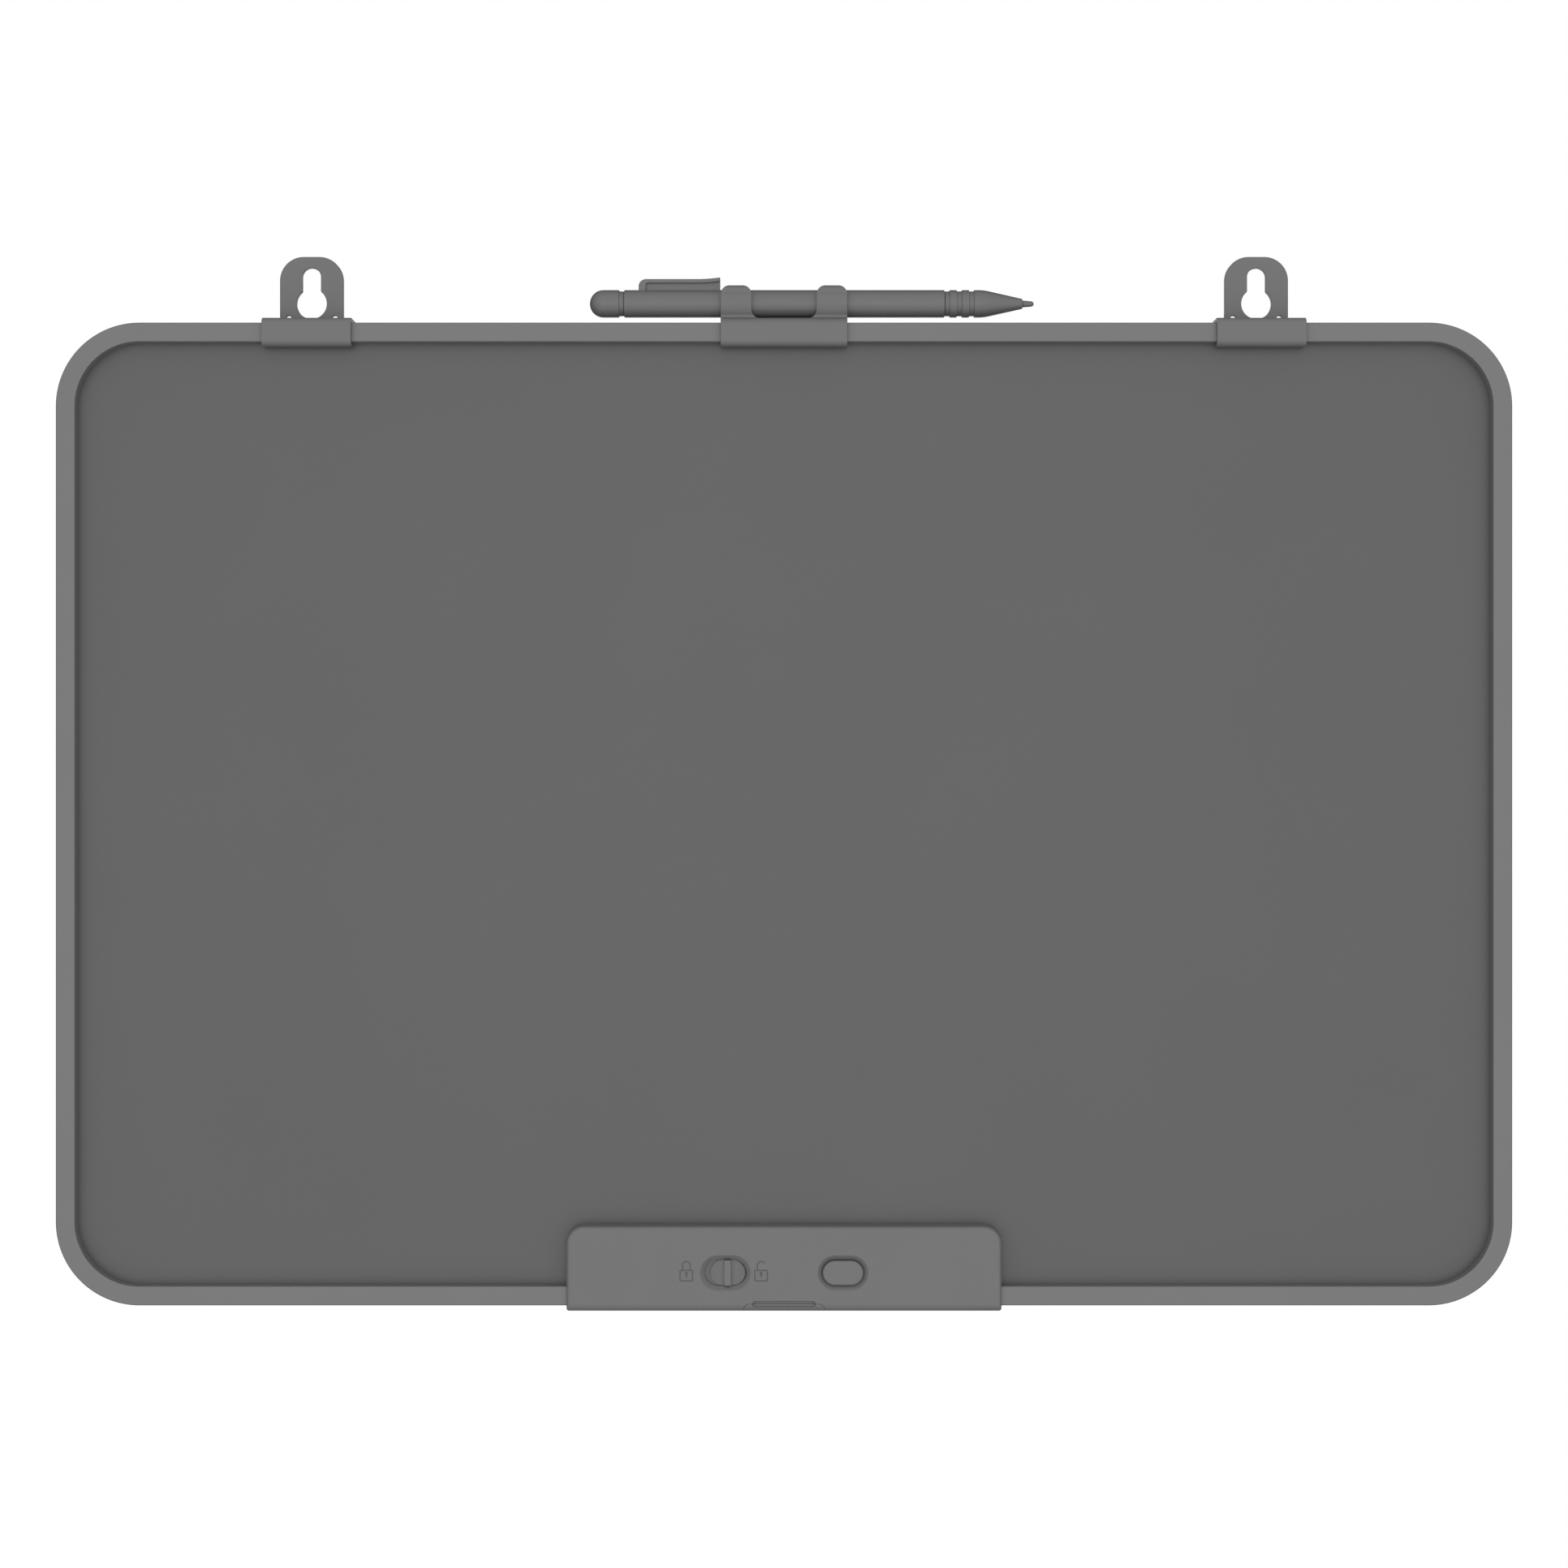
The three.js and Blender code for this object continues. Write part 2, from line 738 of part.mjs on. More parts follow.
// The outline of the housing, drawn in by one amount all round and by another at the bottom
function controllerOutline(inset, lowerInset) {
  const side = controllerSide - inset;
  const topRadius = controllerTopRadius - inset;
  const bottomRadius = Math.max(controllerBottomRadius - inset, seat);
  const bottom = controllerBottom + lowerInset;
  return roundedOutline(-side, side, bottom, controllerTop - inset, bottomRadius, topRadius, smallSteps);
}

function roundInset(radius, depth) {
  return depth >= radius ? 0 : radius - Math.sqrt(radius ** 2 - (radius - depth) ** 2);
}

// The outside of the housing with its rounded front and rear edges
function controllerEnvelope() {
  const rings = [];
  const steps = 2 * roundSteps;
  for (let k = 0; k <= steps; k++) {
    const depth = controllerLowerRound * (1 - Math.cos((k / steps) * quarterTurn));
    const inset = roundInset(controllerEdgeRound, depth);
    const lower = roundInset(controllerLowerRound, depth);
    rings.push(atDepth(controllerOutline(inset, lower), controllerFront + depth));
  }
  for (let k = roundSteps; k >= 0; k--) {
    const depth = controllerRearRound * (1 - Math.cos((k / roundSteps) * quarterTurn));
    const inset = roundInset(controllerRearRound, depth);
    rings.push(atDepth(controllerOutline(inset, inset), -depth));
  }
  return skin(rings);
}

// The hollow inside the housing
function controllerHollow() {
  const side = controllerSide - shellWall;
  const outline = roundedOutline(
    -side, side, controllerBottom + shellWall, controllerTop - shellWall,
    controllerBottomRadius, controllerTopRadius - shellWall, smallSteps,
  );
  return slab(outline, controllerFront + shellWall, -shellWall);
}

// Room for the ends of the frame and the edge of the panels, which the housing clamps
function boardRoom() {
  const far = controllerWidth;
  const lipBack = sheetFront - seat;
  const rear = boardBack + seat;
  const rooms = [-1, 1].flatMap((way) => {
    const [left, right] = way < 0 ? [-far, -notchSide + seat] : [notchSide - seat, far];
    const barTop = boardBottom + bezelFace + seat;
    return [
      block(left, right, boardFront - seat, rear, boardBottom - seat, barTop),
      block(left, right, lipBack, rear, boardBottom - seat, controllerTop + far),
    ];
  });
  rooms.push(block(-far, far, lipBack, rear, notchTop - seat, controllerTop + far));
  return joined(...rooms);
}

// The tray's outline from the front: a low trapezoid with curved flanks
function trayLipOutline(grow, height) {
  const low = trayLipWidth / 2 + grow;
  const high = trayLipTopWidth / 2 + grow;
  const bottom = controllerBottom - shellWall;
  const top = controllerBottom + height + grow;
  const middle = (low + high) / 2;
  const bend = (low - high) / 2;
  const foot = top - trayLipHeight - grow;
  const shape = new THREE.Shape();
  shape.moveTo(-low, bottom);
  shape.lineTo(low, bottom);
  shape.lineTo(low, foot);
  shape.bezierCurveTo(middle, foot, middle + bend / 2, top, high, top);
  shape.lineTo(-high, top);
  shape.bezierCurveTo(-middle - bend / 2, top, -middle, foot, -low, foot);
  shape.closePath();
  return shape;
}

function trayLipSolid(grow, back) {
  return throughBoard(trayLipOutline(grow, trayLipHeight), controllerFront - shellWall, back);
}

function nailSlot() {
  const outline = stadium(0, controllerBottom + trayLipHeight, nailSlotLength, nailSlotHeight);
  return slab(outline, controllerFront - shellWall, controllerFront + nailSlotDepth);
}

// Places of the housing's screws and of the circuit board's posts
function corners(spanX, spanZ, middleZ) {
  return [-1, 1].flatMap((up) => [-1, 1].map((side) => [(side * spanX) / 2, middleZ + (up * spanZ) / 2]));
}

const screwPlaces = corners(screwSpanX, screwSpanZ, controllerTop - screwFromTop);
const postPlaces = corners(postSpanX, postSpanZ, pcbMiddle);
const screwHeadFront = -screwSunk - screwHeadHeight;

// A dished recess with sloping walls round a control
function dish(x, length, height) {
  const outer = stadium(x, controlHeight, dishLength, dishHeight);
  const inner = stadium(x, controlHeight, length, height);
  const spread = dishLength - length;
  const wide = stadium(x, controlHeight, dishLength + spread, dishHeight + spread);
  const walls = [[wide, controllerFront - dishDepth], [outer, controllerFront], [inner, dishFront]];
  const funnel = skin(walls.map(([outline, y]) => atDepth(outline, y)));
  return joined(funnel, slab(inner, dishFront - seat, dishBack + shellWall));
}

function dishBacking(x) {
  const outline = stadium(x, controlHeight, dishLength + 2 * dishPad, dishHeight + 2 * dishPad);
  return slab(outline, controllerFront + shellWall / 2, dishBack);
}

// The part of the hollow housing between two depths
function housingBetween(front, back) {
  const bottom = controllerBottom - shellWall;
  const top = controllerTop + shellWall;
  const half = block(-controllerWidth, controllerWidth, front, back, bottom, top);
  return without(controllerEnvelope().intersect(half), controllerHollow());
}

function controllerFrontShell() {
  const back = parting - seat / 2;
  const shell = housingBetween(controllerFront - shellWall, back);
  const inside = controllerFront + shellWall / 2;
  const bossRadius = screwRadius + seat + bossWall;
  const bosses = screwPlaces.map(([x, z]) => peg(x, z, bossRadius, inside, back));
  const posts = postPlaces.map(([x, z]) => peg(x, z, postRadius, inside, pcbFront - seat, postSides));
  const pins = postPlaces.map(([x, z]) => peg(x, z, postPinRadius, inside, pcbBack, pinSides));
  const pilots = screwPlaces.map(([x, z]) => (
    peg(x, z, screwRadius + seat, screwHeadFront - screwLength - bossFloor / 2, parting)
  ));
  return without(
    joined(shell, dishBacking(lockX), dishBacking(eraseX), ...bosses, ...posts, ...pins),
    boardRoom(),
    dish(lockX, lockSlotLength, lockSlotHeight),
    dish(eraseX, eraseHoleLength, eraseHoleHeight),
    trayLipSolid(trayLipGap, controllerFront + trayLipDepth + slip),
    trayPassage(),
    nailSlot(),
    ...pilots,
  );
}

// The way through the housing's bottom wall that the tray slides in
function trayPassage() {
  const side = trayLipWidth / 2 + slip;
  const top = controllerBottom + trayBottom + slip;
  const front = controllerFront + trayLipDepth - seat - slip;
  return block(-side, side, front, trayBack + slip, controllerBottom - shellWall, top);
}

function controllerRearShell() {
  const front = parting + seat / 2;
  const shell = housingBetween(front, shellWall);
  const sinkRadius = screwHeadRadius + slip;
  const bosses = screwPlaces.map(([x, z]) => peg(x, z, sinkRadius + bossWall / 2, front, -shellWall / 2));
  const counterbores = screwPlaces.map(([x, z]) => peg(x, z, sinkRadius, screwHeadFront - seat, shellWall));
  const holes = screwPlaces.map(([x, z]) => peg(x, z, screwRadius + seat, parting - shellWall, 0));
  const rails = [-1, 1].map((way) => {
    const near = traySide + slip;
    const [left, right] = way < 0 ? [-near - railWall, -near] : [near, near + railWall];
    const top = cellHeight + pocketRadius;
    return block(left, right, trayFront, -shellWall / 2, controllerBottom + shellWall, top);
  });
  return without(
    joined(shell, ...bosses, ...rails),
    boardRoom(),
    trayPassage(),
    ...counterbores,
    ...holes,
  );
}

function controllerScrew([x, z]) {
  const head = peg(x, z, screwHeadRadius, screwHeadFront, -screwSunk);
  const shank = peg(x, z, screwRadius, screwHeadFront - screwLength, screwHeadFront + seat, postSides);
  const reach = crossLength / 2;
  const bar = crossWidth / 2;
  const floor = -screwSunk - crossDepth;
  return without(
    joined(head, shank),
    block(x - reach, x + reach, floor, 0, z - bar, z + bar),
    block(x - bar, x + bar, floor, 0, z - reach, z + reach),
  );
}

// Controls

// The knob slides between the ends of its slot and rests at the right one
const lockTravel = lockSlotLength - knobLength - 2 * seat;
const knobX = lockX + lockTravel / 2;
const knobHeight = lockSlotHeight - 2 * seat;
const knobFront = controllerFront + knobSunk;

function lockSliderKnob() {
  const body = slab(stadium(knobX, controlHeight, knobLength, knobHeight), knobFront, flangeBack);
  const flangeLength = knobLength + lockTravel + 2 * controlOverlap;
  const flangeHeight = lockSlotHeight + 2 * controlOverlap;
  const flange = slab(stadium(knobX, controlHeight, flangeLength, flangeHeight), flangeFront, flangeBack);
  const bottom = controlHeight - knobHeight;
  const scoops = [-1, 1].map((way) => {
    const wall = knobX + (way * knobRidge) / 2;
    const roll = new THREE.CylinderGeometry(scoopRadius, scoopRadius, 2 * knobHeight, scoopSides);
    const centreY = knobFront + scoopDepth - scoopRadius;
    roll.rotateX(quarterTurn).translate(wall + way * scoopShift, centreY, controlHeight);
    const [left, right] = way < 0 ? [wall - knobLength, wall] : [wall, wall + knobLength];
    const side = block(left, right, centreY, dishBack, bottom, bottom + 2 * knobHeight);
    return solid(roll).intersect(side);
  });
  const pocketSide = leverWidth / 2 + seat;
  const pocketRise = leverHeight / 2 + seat;
  const pocket = block(
    knobX - pocketSide, knobX + pocketSide, dishBack - dishFloor / 2, flangeBack + seat,
    controlHeight - pocketRise, controlHeight + pocketRise,
  );
  return without(joined(body, flange), ...scoops, pocket);
}

const switchSeat = pcbFront - seat;
const lockSwitchFront = switchSeat - lockSwitchHeight;

function lockSwitchBody() {
  const body = block(
    lockX - lockSwitchLength / 2, lockX + lockSwitchLength / 2, lockSwitchFront, switchSeat,
    controlHeight - lockSwitchWidth / 2, controlHeight + lockSwitchWidth / 2,
  );
  const reach = (leverWidth + lockTravel) / 2 + slip;
  const slot = block(
    lockX - reach, lockX + reach, lockSwitchFront - seat, switchSeat - lockSwitchFloor,
    controlHeight - leverHeight / 2 - seat, controlHeight + leverHeight / 2 + seat,
  );
  return without(body, slot);
}

function lockSwitchLever() {
  return block(
    knobX - leverWidth / 2, knobX + leverWidth / 2,
    dishBack - dishFloor / 2 + seat, switchSeat - lockSwitchFloor - seat,
    controlHeight - leverHeight / 2, controlHeight + leverHeight / 2,
  );
}

function eraseButtonCap() {
  const length = eraseHoleLength - capGap;
  const height = eraseHoleHeight - capGap;
  const front = controllerFront + capSunk;
  const rings = [];
  for (let k = 0; k <= roundSteps; k++) {
    const depth = capRound * (1 - Math.cos((k / roundSteps) * quarterTurn));
    const inset = 2 * roundInset(capRound, depth);
    rings.push(atDepth(stadium(eraseX, controlHeight, length - inset, height - inset), front + depth));
  }
  rings.push(atDepth(stadium(eraseX, controlHeight, length, height), flangeBack));
  const flange = slab(
    stadium(eraseX, controlHeight, length + 2 * controlOverlap, height + 2 * controlOverlap),
    flangeFront,
    flangeBack,
  );
  return joined(skin(rings), flange);
}

const eraseSwitchFront = switchSeat - eraseSwitchHeight;

function eraseSwitchBody() {
  const half = eraseSwitchSize / 2;
  const body = block(
    eraseX - half, eraseX + half, eraseSwitchFront, switchSeat,
    controlHeight - half, controlHeight + half,
  );
  const boreBack = switchSeat - eraseSwitchFloor;
  const bore = peg(eraseX, controlHeight, plungerRadius + seat, eraseSwitchFront - seat, boreBack);
  return without(body, bore);
}

function eraseSwitchPlunger() {
  return peg(eraseX, controlHeight, plungerRadius, flangeBack + seat, eraseSwitchFront + plungerSunk);
}

// Electronics

function controlBoard() {
  const plate = block(-pcbWidth / 2, pcbWidth / 2, pcbFront, pcbBack, pcbTop - pcbHeight, pcbTop);
  const holes = postPlaces.map(([x, z]) => (
    peg(x, z, postPinRadius + seat, pcbFront - seat, pcbBack + seat, postSides)
  ));
  return without(plate, ...holes);
}

function driverChip() {
  return block(
    -chipWidth / 2, chipWidth / 2, switchSeat - chipThickness, switchSeat,
    controlHeight - chipHeight / 2, controlHeight + chipHeight / 2,
  );
}

// The flat cable that joins the sheet's edge to the circuit board
function connectorStrip() {
  const back = sheetFront - seat;
  const top = controllerTop - shellWall - 2 * seat;
  const side = stripWidth / 2;
  return block(stripX - side, stripX + side, back - stripThickness, back, top - stripHeight, top);
}

// Battery

function batteryTray() {
  const lip = trayLipSolid(0, controllerFront + trayLipDepth);
  const floorSide = trayLipWidth / 2;
  const floor = block(
    -floorSide, floorSide, controllerFront + trayLipDepth - seat, trayBack,
    controllerBottom - shellWall, controllerBottom + trayBottom,
  );
  const closing = joined(lip, floor).intersect(controllerEnvelope());
  const frameBottom = controllerBottom + trayBottom - seat;
  const frame = block(-traySide, traySide, trayFront, trayBack, frameBottom, trayTop);
  const notch = block(
    -terminalWidth / 2 - slip, terminalWidth / 2 + slip, trayFront - seat, trayBack + seat,
    cellHeight + cellRadius / 2, trayTop + seat,
  );
  const pocket = peg(0, cellHeight, pocketRadius, trayFront - seat, cellBack + seat, 2 * holeSides);
  const thumbHole = peg(0, cellHeight, trayThumbHole, cellBack, trayBack + seat);
  return without(joined(closing, frame), pocket, thumbHole, notch, nailSlot());
}

// A button cell: a can and a slightly narrower cap on its front
function coinCell() {
  const can = peg(0, cellHeight, cellRadius, cellFront + cellRimStep, cellBack, 2 * holeSides);
  const capBack = cellBack - cellThickness / 2;
  const cap = peg(0, cellHeight, cellRadius - 2 * cellRimStep, cellFront, capBack, 2 * holeSides);
  return joined(can, cap);
}

// A bent strip of sheet metal drawn in y and z from its middle line
function bentStrip(path, width) {
  const steps = path.length - 1;
  const half = leafThickness / 2;
  const sides = [[], []];
  path.forEach((point, k) => {
    const before = path[Math.max(k - 1, 0)];
    const after = path[Math.min(k + 1, steps)];
    const along = after.clone().sub(before).normalize();
    const across = new THREE.Vector2(-along.y, along.x).multiplyScalar(half);
    sides[0].push(point.clone().add(across));
    sides[1].unshift(point.clone().sub(across));
  });
  return acrossBoard(new THREE.Shape([...sides[0], ...sides[1]]), -width / 2, width / 2);
}

// Bowed leaf on the circuit board that presses on the front of the cell
function negativeContact() {
  const base = pcbBack + seat + leafThickness / 2;
  const crown = trayFront - seat - leafThickness / 2;
  const start = cellHeight + leafLength / 2;
  const path = [];
  const steps = 2 * smallSteps;
  for (let k = 0; k <= steps; k++) {
    const along = k / steps;
    const bow = Math.sin(along * Math.PI) ** 2;
    path.push(new THREE.Vector2(base + (crown - base) * bow, start - along * leafLength));
  }
  return bentStrip(path, leafWidth);
}

// Angle on the circuit board that reaches over the top of the cell
function positiveContact() {
  const base = pcbBack + seat + leafThickness / 2;
  const level = cellHeight + cellRadius + seat + leafThickness / 2;
  const path = [
    new THREE.Vector2(base, level - terminalPad),
    new THREE.Vector2(base, level - leafThickness),
    new THREE.Vector2(base + leafThickness, level),
    new THREE.Vector2(base + terminalReach, level),
  ];
  return bentStrip(path, terminalWidth);
}

// Finishes

function finish(colour, roughness, metalness = 0) {
  return new THREE.MeshStandardMaterial({ color: colour, roughness, metalness });
}

const framePlastic = finish(0x7c7c7c, 0.55);
const casePlastic = finish(0x757575, 0.5);
const penPlastic = finish(0x757575, 0.4);
const sheetFilm = finish(0x656565, 0.35);
const panelPlastic = finish(0x6a6a6a, 0.6);
const circuitBoard = finish(0x2f5d46, 0.45);
const blackPlastic = finish(0x1d1d1f, 0.5);
const copperFilm = finish(0xb08a4e, 0.35, 0.6);
const nickel = finish(0xb9bbbd, 0.3, 1);
const steel = finish(0x9a9c9f, 0.35, 1);

const model = new THREE.Group();

function addPiece(name, body, material) {
  const mesh = new THREE.Mesh(geometryOf(body), material);
  mesh.name = name;
  model.add(mesh);
}

addPiece("frame_bezel", frameBezel(), framePlastic);
addPiece("writing_sheet", panel(sheetFront, sheetBack), sheetFilm);
addPiece("support_board", panel(supportFront, supportBack), panelPlastic);
addPiece("back_panel", panel(backFront, boardBack), panelPlastic);
addPiece("hook_left", hook(-hookSpacing / 2), casePlastic);
addPiece("hook_right", hook(hookSpacing / 2), casePlastic);
addPiece("pen_holder", penHolder(), casePlastic);
addPiece("pen_tail_cap", penTailCap(), penPlastic);
addPiece("pen_barrel", penBarrel(), penPlastic);
addPiece("pen_nose", penNose(), penPlastic);
addPiece("pen_nib", penNib(), penPlastic);
addPiece("controller_front_shell", controllerFrontShell(), casePlastic);
addPiece("controller_rear_shell", controllerRearShell(), casePlastic);
screwPlaces.forEach((place, k) => addPiece(`controller_screw_${k + 1}`, controllerScrew(place), steel));
addPiece("lock_slider_knob", lockSliderKnob(), casePlastic);
addPiece("lock_switch_body", lockSwitchBody(), nickel);
addPiece("lock_switch_lever", lockSwitchLever(), blackPlastic);
addPiece("erase_button_cap", eraseButtonCap(), casePlastic);
addPiece("erase_switch_body", eraseSwitchBody(), blackPlastic);
addPiece("erase_switch_plunger", eraseSwitchPlunger(), blackPlastic);
addPiece("control_board", controlBoard(), circuitBoard);
addPiece("driver_chip", driverChip(), blackPlastic);
addPiece("lcd_connector_strip", connectorStrip(), copperFilm);
addPiece("battery_tray", batteryTray(), casePlastic);
addPiece("coin_cell", coinCell(), nickel);
addPiece("battery_contact_negative", negativeContact(), nickel);
addPiece("battery_contact_positive", positiveContact(), nickel);

export default model;
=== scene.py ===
"""Looks of a wall-hung LCD writing board, laid out as a Blender add-on and run as a script.

Lengths inside the making functions are millimetres. X points right, Y into the wall and Z up, as in the CAD
part.
"""

import math

import bmesh
import bpy
from mathutils import Matrix, Vector


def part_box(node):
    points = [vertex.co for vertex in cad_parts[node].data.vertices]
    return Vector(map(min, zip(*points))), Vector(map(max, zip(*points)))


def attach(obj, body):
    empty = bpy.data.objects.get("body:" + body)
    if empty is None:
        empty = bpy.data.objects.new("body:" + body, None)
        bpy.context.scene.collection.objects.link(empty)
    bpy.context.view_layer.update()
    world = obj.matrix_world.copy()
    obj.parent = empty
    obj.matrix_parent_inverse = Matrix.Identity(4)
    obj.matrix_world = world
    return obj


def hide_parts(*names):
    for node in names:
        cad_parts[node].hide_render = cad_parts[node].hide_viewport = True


bl_info = {
    "name": "Writing board",
    "version": (1, 0, 0),
    "blender": (4, 5, 0),
    "location": "View3D > Sidebar > Writing board",
    "description": "Makes the looks of a wall-hung LCD writing board round its CAD frame",
    "category": "Object",
}

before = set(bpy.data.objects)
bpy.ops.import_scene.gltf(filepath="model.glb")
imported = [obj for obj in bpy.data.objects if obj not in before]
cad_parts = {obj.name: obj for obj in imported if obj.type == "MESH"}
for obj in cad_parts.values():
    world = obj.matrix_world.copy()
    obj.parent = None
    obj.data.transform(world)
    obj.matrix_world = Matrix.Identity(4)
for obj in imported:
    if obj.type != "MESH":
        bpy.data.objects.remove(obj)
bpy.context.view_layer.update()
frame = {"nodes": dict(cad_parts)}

METRE = 0.001
QUARTER = math.pi / 2
# Gap between a piece and what it is seated in or clamped by, and the wider one round what slides
SEAT = 0.1
SLIP = 0.2
# How far a cutter reaches past the face that it cuts
OVERCUT = 1.0


def linear(code):
    """The linear colour of an sRGB hex value."""
    channels = [int(code[i:i + 2], 16) / 255 for i in (0, 2, 4)]
    return [c / 12.92 if c <= 0.04045 else ((c + 0.055) / 1.055) ** 2.4 for c in channels] + [1.0]


def node_box(node):
    """Lowest and highest corner of a CAD node, in millimetres."""
    low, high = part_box(node)
    return low / METRE, high / METRE


# Materials


def add_node(tree, kind, settings=None, inputs=None):
    """Adds a node, sets its own properties, and gives its inputs their values or links."""
    node = tree.nodes.new(kind)
    for name, value in (settings or {}).items():
        setattr(node, name, value)
    for name, value in (inputs or {}).items():
        if isinstance(value, bpy.types.NodeSocket):
            tree.links.new(value, node.inputs[name])
        else:
            node.inputs[name].default_value = value
    return node


def new_material(name):
    """The tree, shader and Object coordinates of a new material with one Principled surface."""
    material = bpy.data.materials.new(name)
    material.use_nodes = True
    tree = material.node_tree
    tree.nodes.clear()
    shader = add_node(tree, "ShaderNodeBsdfPrincipled")
    add_node(tree, "ShaderNodeOutputMaterial", inputs={"Surface": shader.outputs["BSDF"]})
    return tree, shader, add_node(tree, "ShaderNodeTexCoord").outputs["Object"]


def per_metre(millimetres):
    """The texture scale that makes one cell of a pattern that long."""
    return 1 / (millimetres * METRE)


def lay_finish(tree, shader, tone, tints, grain, span, gloss, strength, relief):
    """Blends two tints by one pattern, and lays uneven gloss and relief by another, both over one span."""
    ramp = add_node(tree, "ShaderNodeValToRGB", inputs={"Fac": tone})
    for stop, position, tint in zip(ramp.color_ramp.elements, span, tints):
        stop.position = position
        stop.color = tint
    uneven = add_node(
        tree, "ShaderNodeMapRange", {"clamp": True},
        {"Value": grain, "From Min": span[0], "From Max": span[1], "To Min": gloss[0], "To Max": gloss[1]},
    )
    bump = add_node(
        tree, "ShaderNodeBump", None, {"Strength": strength, "Distance": relief * METRE, "Height": grain},
    )
    tree.links.new(ramp.outputs["Color"], shader.inputs["Base Color"])
    tree.links.new(uneven.outputs["Result"], shader.inputs["Roughness"])
    tree.links.new(bump.outputs["Normal"], shader.inputs["Normal"])


def moulded(name, colour, spread, mottle, grain, relief, gloss, ior=1.53):
    """Moulded plastic: slow mottling round one colour, a fine grain in relief and uneven gloss."""
    tree, shader, place = new_material(name)
    cloud, grit = (
        add_node(
            tree, "ShaderNodeTexNoise", {"noise_dimensions": "3D"},
            {"Vector": place, "Scale": per_metre(size), "Detail": detail, "Roughness": rough},
        ).outputs["Fac"]
        for size, detail, rough in ((mottle, 3.0, 0.55), (grain, 2.0, 0.5))
    )
    tints = [[c * share for c in colour[:3]] + [1.0] for share in (1 - spread, 1 + spread)]
    lay_finish(tree, shader, cloud, tints, grit, span=(0.3, 0.7), gloss=gloss, strength=0.35, relief=relief)
    shader.inputs["IOR"].default_value = ior


def drawn_metal(name, low, high, line, gloss):
    """Rolled or plated metal with fine lines along X."""
    tree, shader, place = new_material(name)
    stretched = add_node(
        tree, "ShaderNodeMapping", {"vector_type": "POINT"}, {"Vector": place, "Scale": (0.04, 1.0, 1.0)},
    )
    lines = add_node(
        tree, "ShaderNodeTexNoise", {"noise_dimensions": "3D"},
        {"Vector": stretched.outputs["Vector"], "Scale": per_metre(line), "Detail": 3.0},
    ).outputs["Fac"]
    tints = (linear(low), linear(high))
    lay_finish(tree, shader, lines, tints, lines, span=(0.0, 1.0), gloss=gloss, strength=0.2, relief=0.005)
    shader.inputs["Metallic"].default_value = 1.0


def circuit_laminate():
    """Green solder mask over woven glass: a glossy green with a faint square weave."""
    tree, shader, place = new_material("circuit_laminate")
    upright = add_node(
        tree, "ShaderNodeMapping", {"vector_type": "POINT"}, {"Vector": place, "Rotation": (QUARTER, 0, 0)},
    )
    weave = add_node(
        tree, "ShaderNodeTexBrick", {"offset": 0.5, "squash": 1.0},
        {
            "Vector": upright.outputs["Vector"], "Scale": per_metre(0.9), "Mortar Size": 0.03,
            "Color1": linear("1f4a38"), "Color2": linear("24543f"), "Mortar": linear("1b4132"),
            "Brick Width": 1.0, "Row Height": 1.0,
        },
    )
    tree.links.new(weave.outputs["Color"], shader.inputs["Base Color"])
    shader.inputs["Roughness"].default_value = 0.28
    shader.inputs["IOR"].default_value = 1.55


def make_finishes(colours):
    """Every material of the board."""
    # Moulded ABS with a fine spark-eroded texture: even satin grey.
    # The real grain is near 0.05 mm, and is drawn at 0.3 mm so that it shows.
    moulded(
        "moulded_abs_frame", colours.frame, spread=0.015, mottle=35, grain=0.3, relief=0.006,
        gloss=(0.42, 0.52),
    )
    # The same plastic in a slightly darker batch, for the clips, the housing and its controls
    moulded(
        "moulded_abs_case", colours.case, spread=0.015, mottle=18, grain=0.3, relief=0.006,
        gloss=(0.42, 0.54),
    )
    # Polished ABS of the pen: smoother, so that its round side has a soft streak of light
    moulded(
        "polished_abs_pen", colours.pen, spread=0.01, mottle=12, grain=0.4, relief=0.003, gloss=(0.3, 0.38),
    )
    # Anti-glare PET film over a dark liquid crystal layer: darker, even, with a finely etched surface
    moulded(
        "etched_pet_film", colours.sheet, spread=0.02, mottle=60, grain=0.25, relief=0.003,
        gloss=(0.36, 0.44), ior=1.57,
    )
    # Extruded polystyrene sheet with a coarser matt grain, behind the sheet and at the rear
    moulded(
        "grained_polystyrene", linear("6a6a6a"), spread=0.04, mottle=25, grain=0.9, relief=0.03,
        gloss=(0.55, 0.68), ior=1.59,
    )
    # Dark ink of the padlock signs, pad-printed on the housing: thin, even and matt
    moulded("printed_ink", linear("4a4a4a"), spread=0.05, mottle=3, grain=0.2, relief=0.002, gloss=(0.5, 0.6))
    # Black moulded thermoplastic of the switches and the chip
    moulded(
        "black_thermoplastic", linear("1c1c1e"), spread=0.1, mottle=2, grain=0.15, relief=0.004,
        gloss=(0.4, 0.55),
    )
    # Copper tracks under an amber polyimide film
    drawn_metal("polyimide_film", "8d6a35", "b98f4e", line=0.8, gloss=(0.3, 0.42))
    # Nickel plate on deep-drawn and rolled sheet
    drawn_metal("nickel_plate", "a9abae", "c4c6c8", line=0.25, gloss=(0.2, 0.34))
    # Zinc plate on cold-headed screws
    drawn_metal("zinc_plate", "8d8f92", "a8aaad", line=0.3, gloss=(0.3, 0.45))
    # Solder mask on glass-epoxy laminate
    circuit_laminate()


# Mesh building, all in millimetres until a piece is finished


# Points of one skin that count as the same, and points and turns that a boolean step leaves and nobody needs
SAME_POINT = 1e-4
STRAY_POINT = 5e-4
STRAY_TURN = 0.5

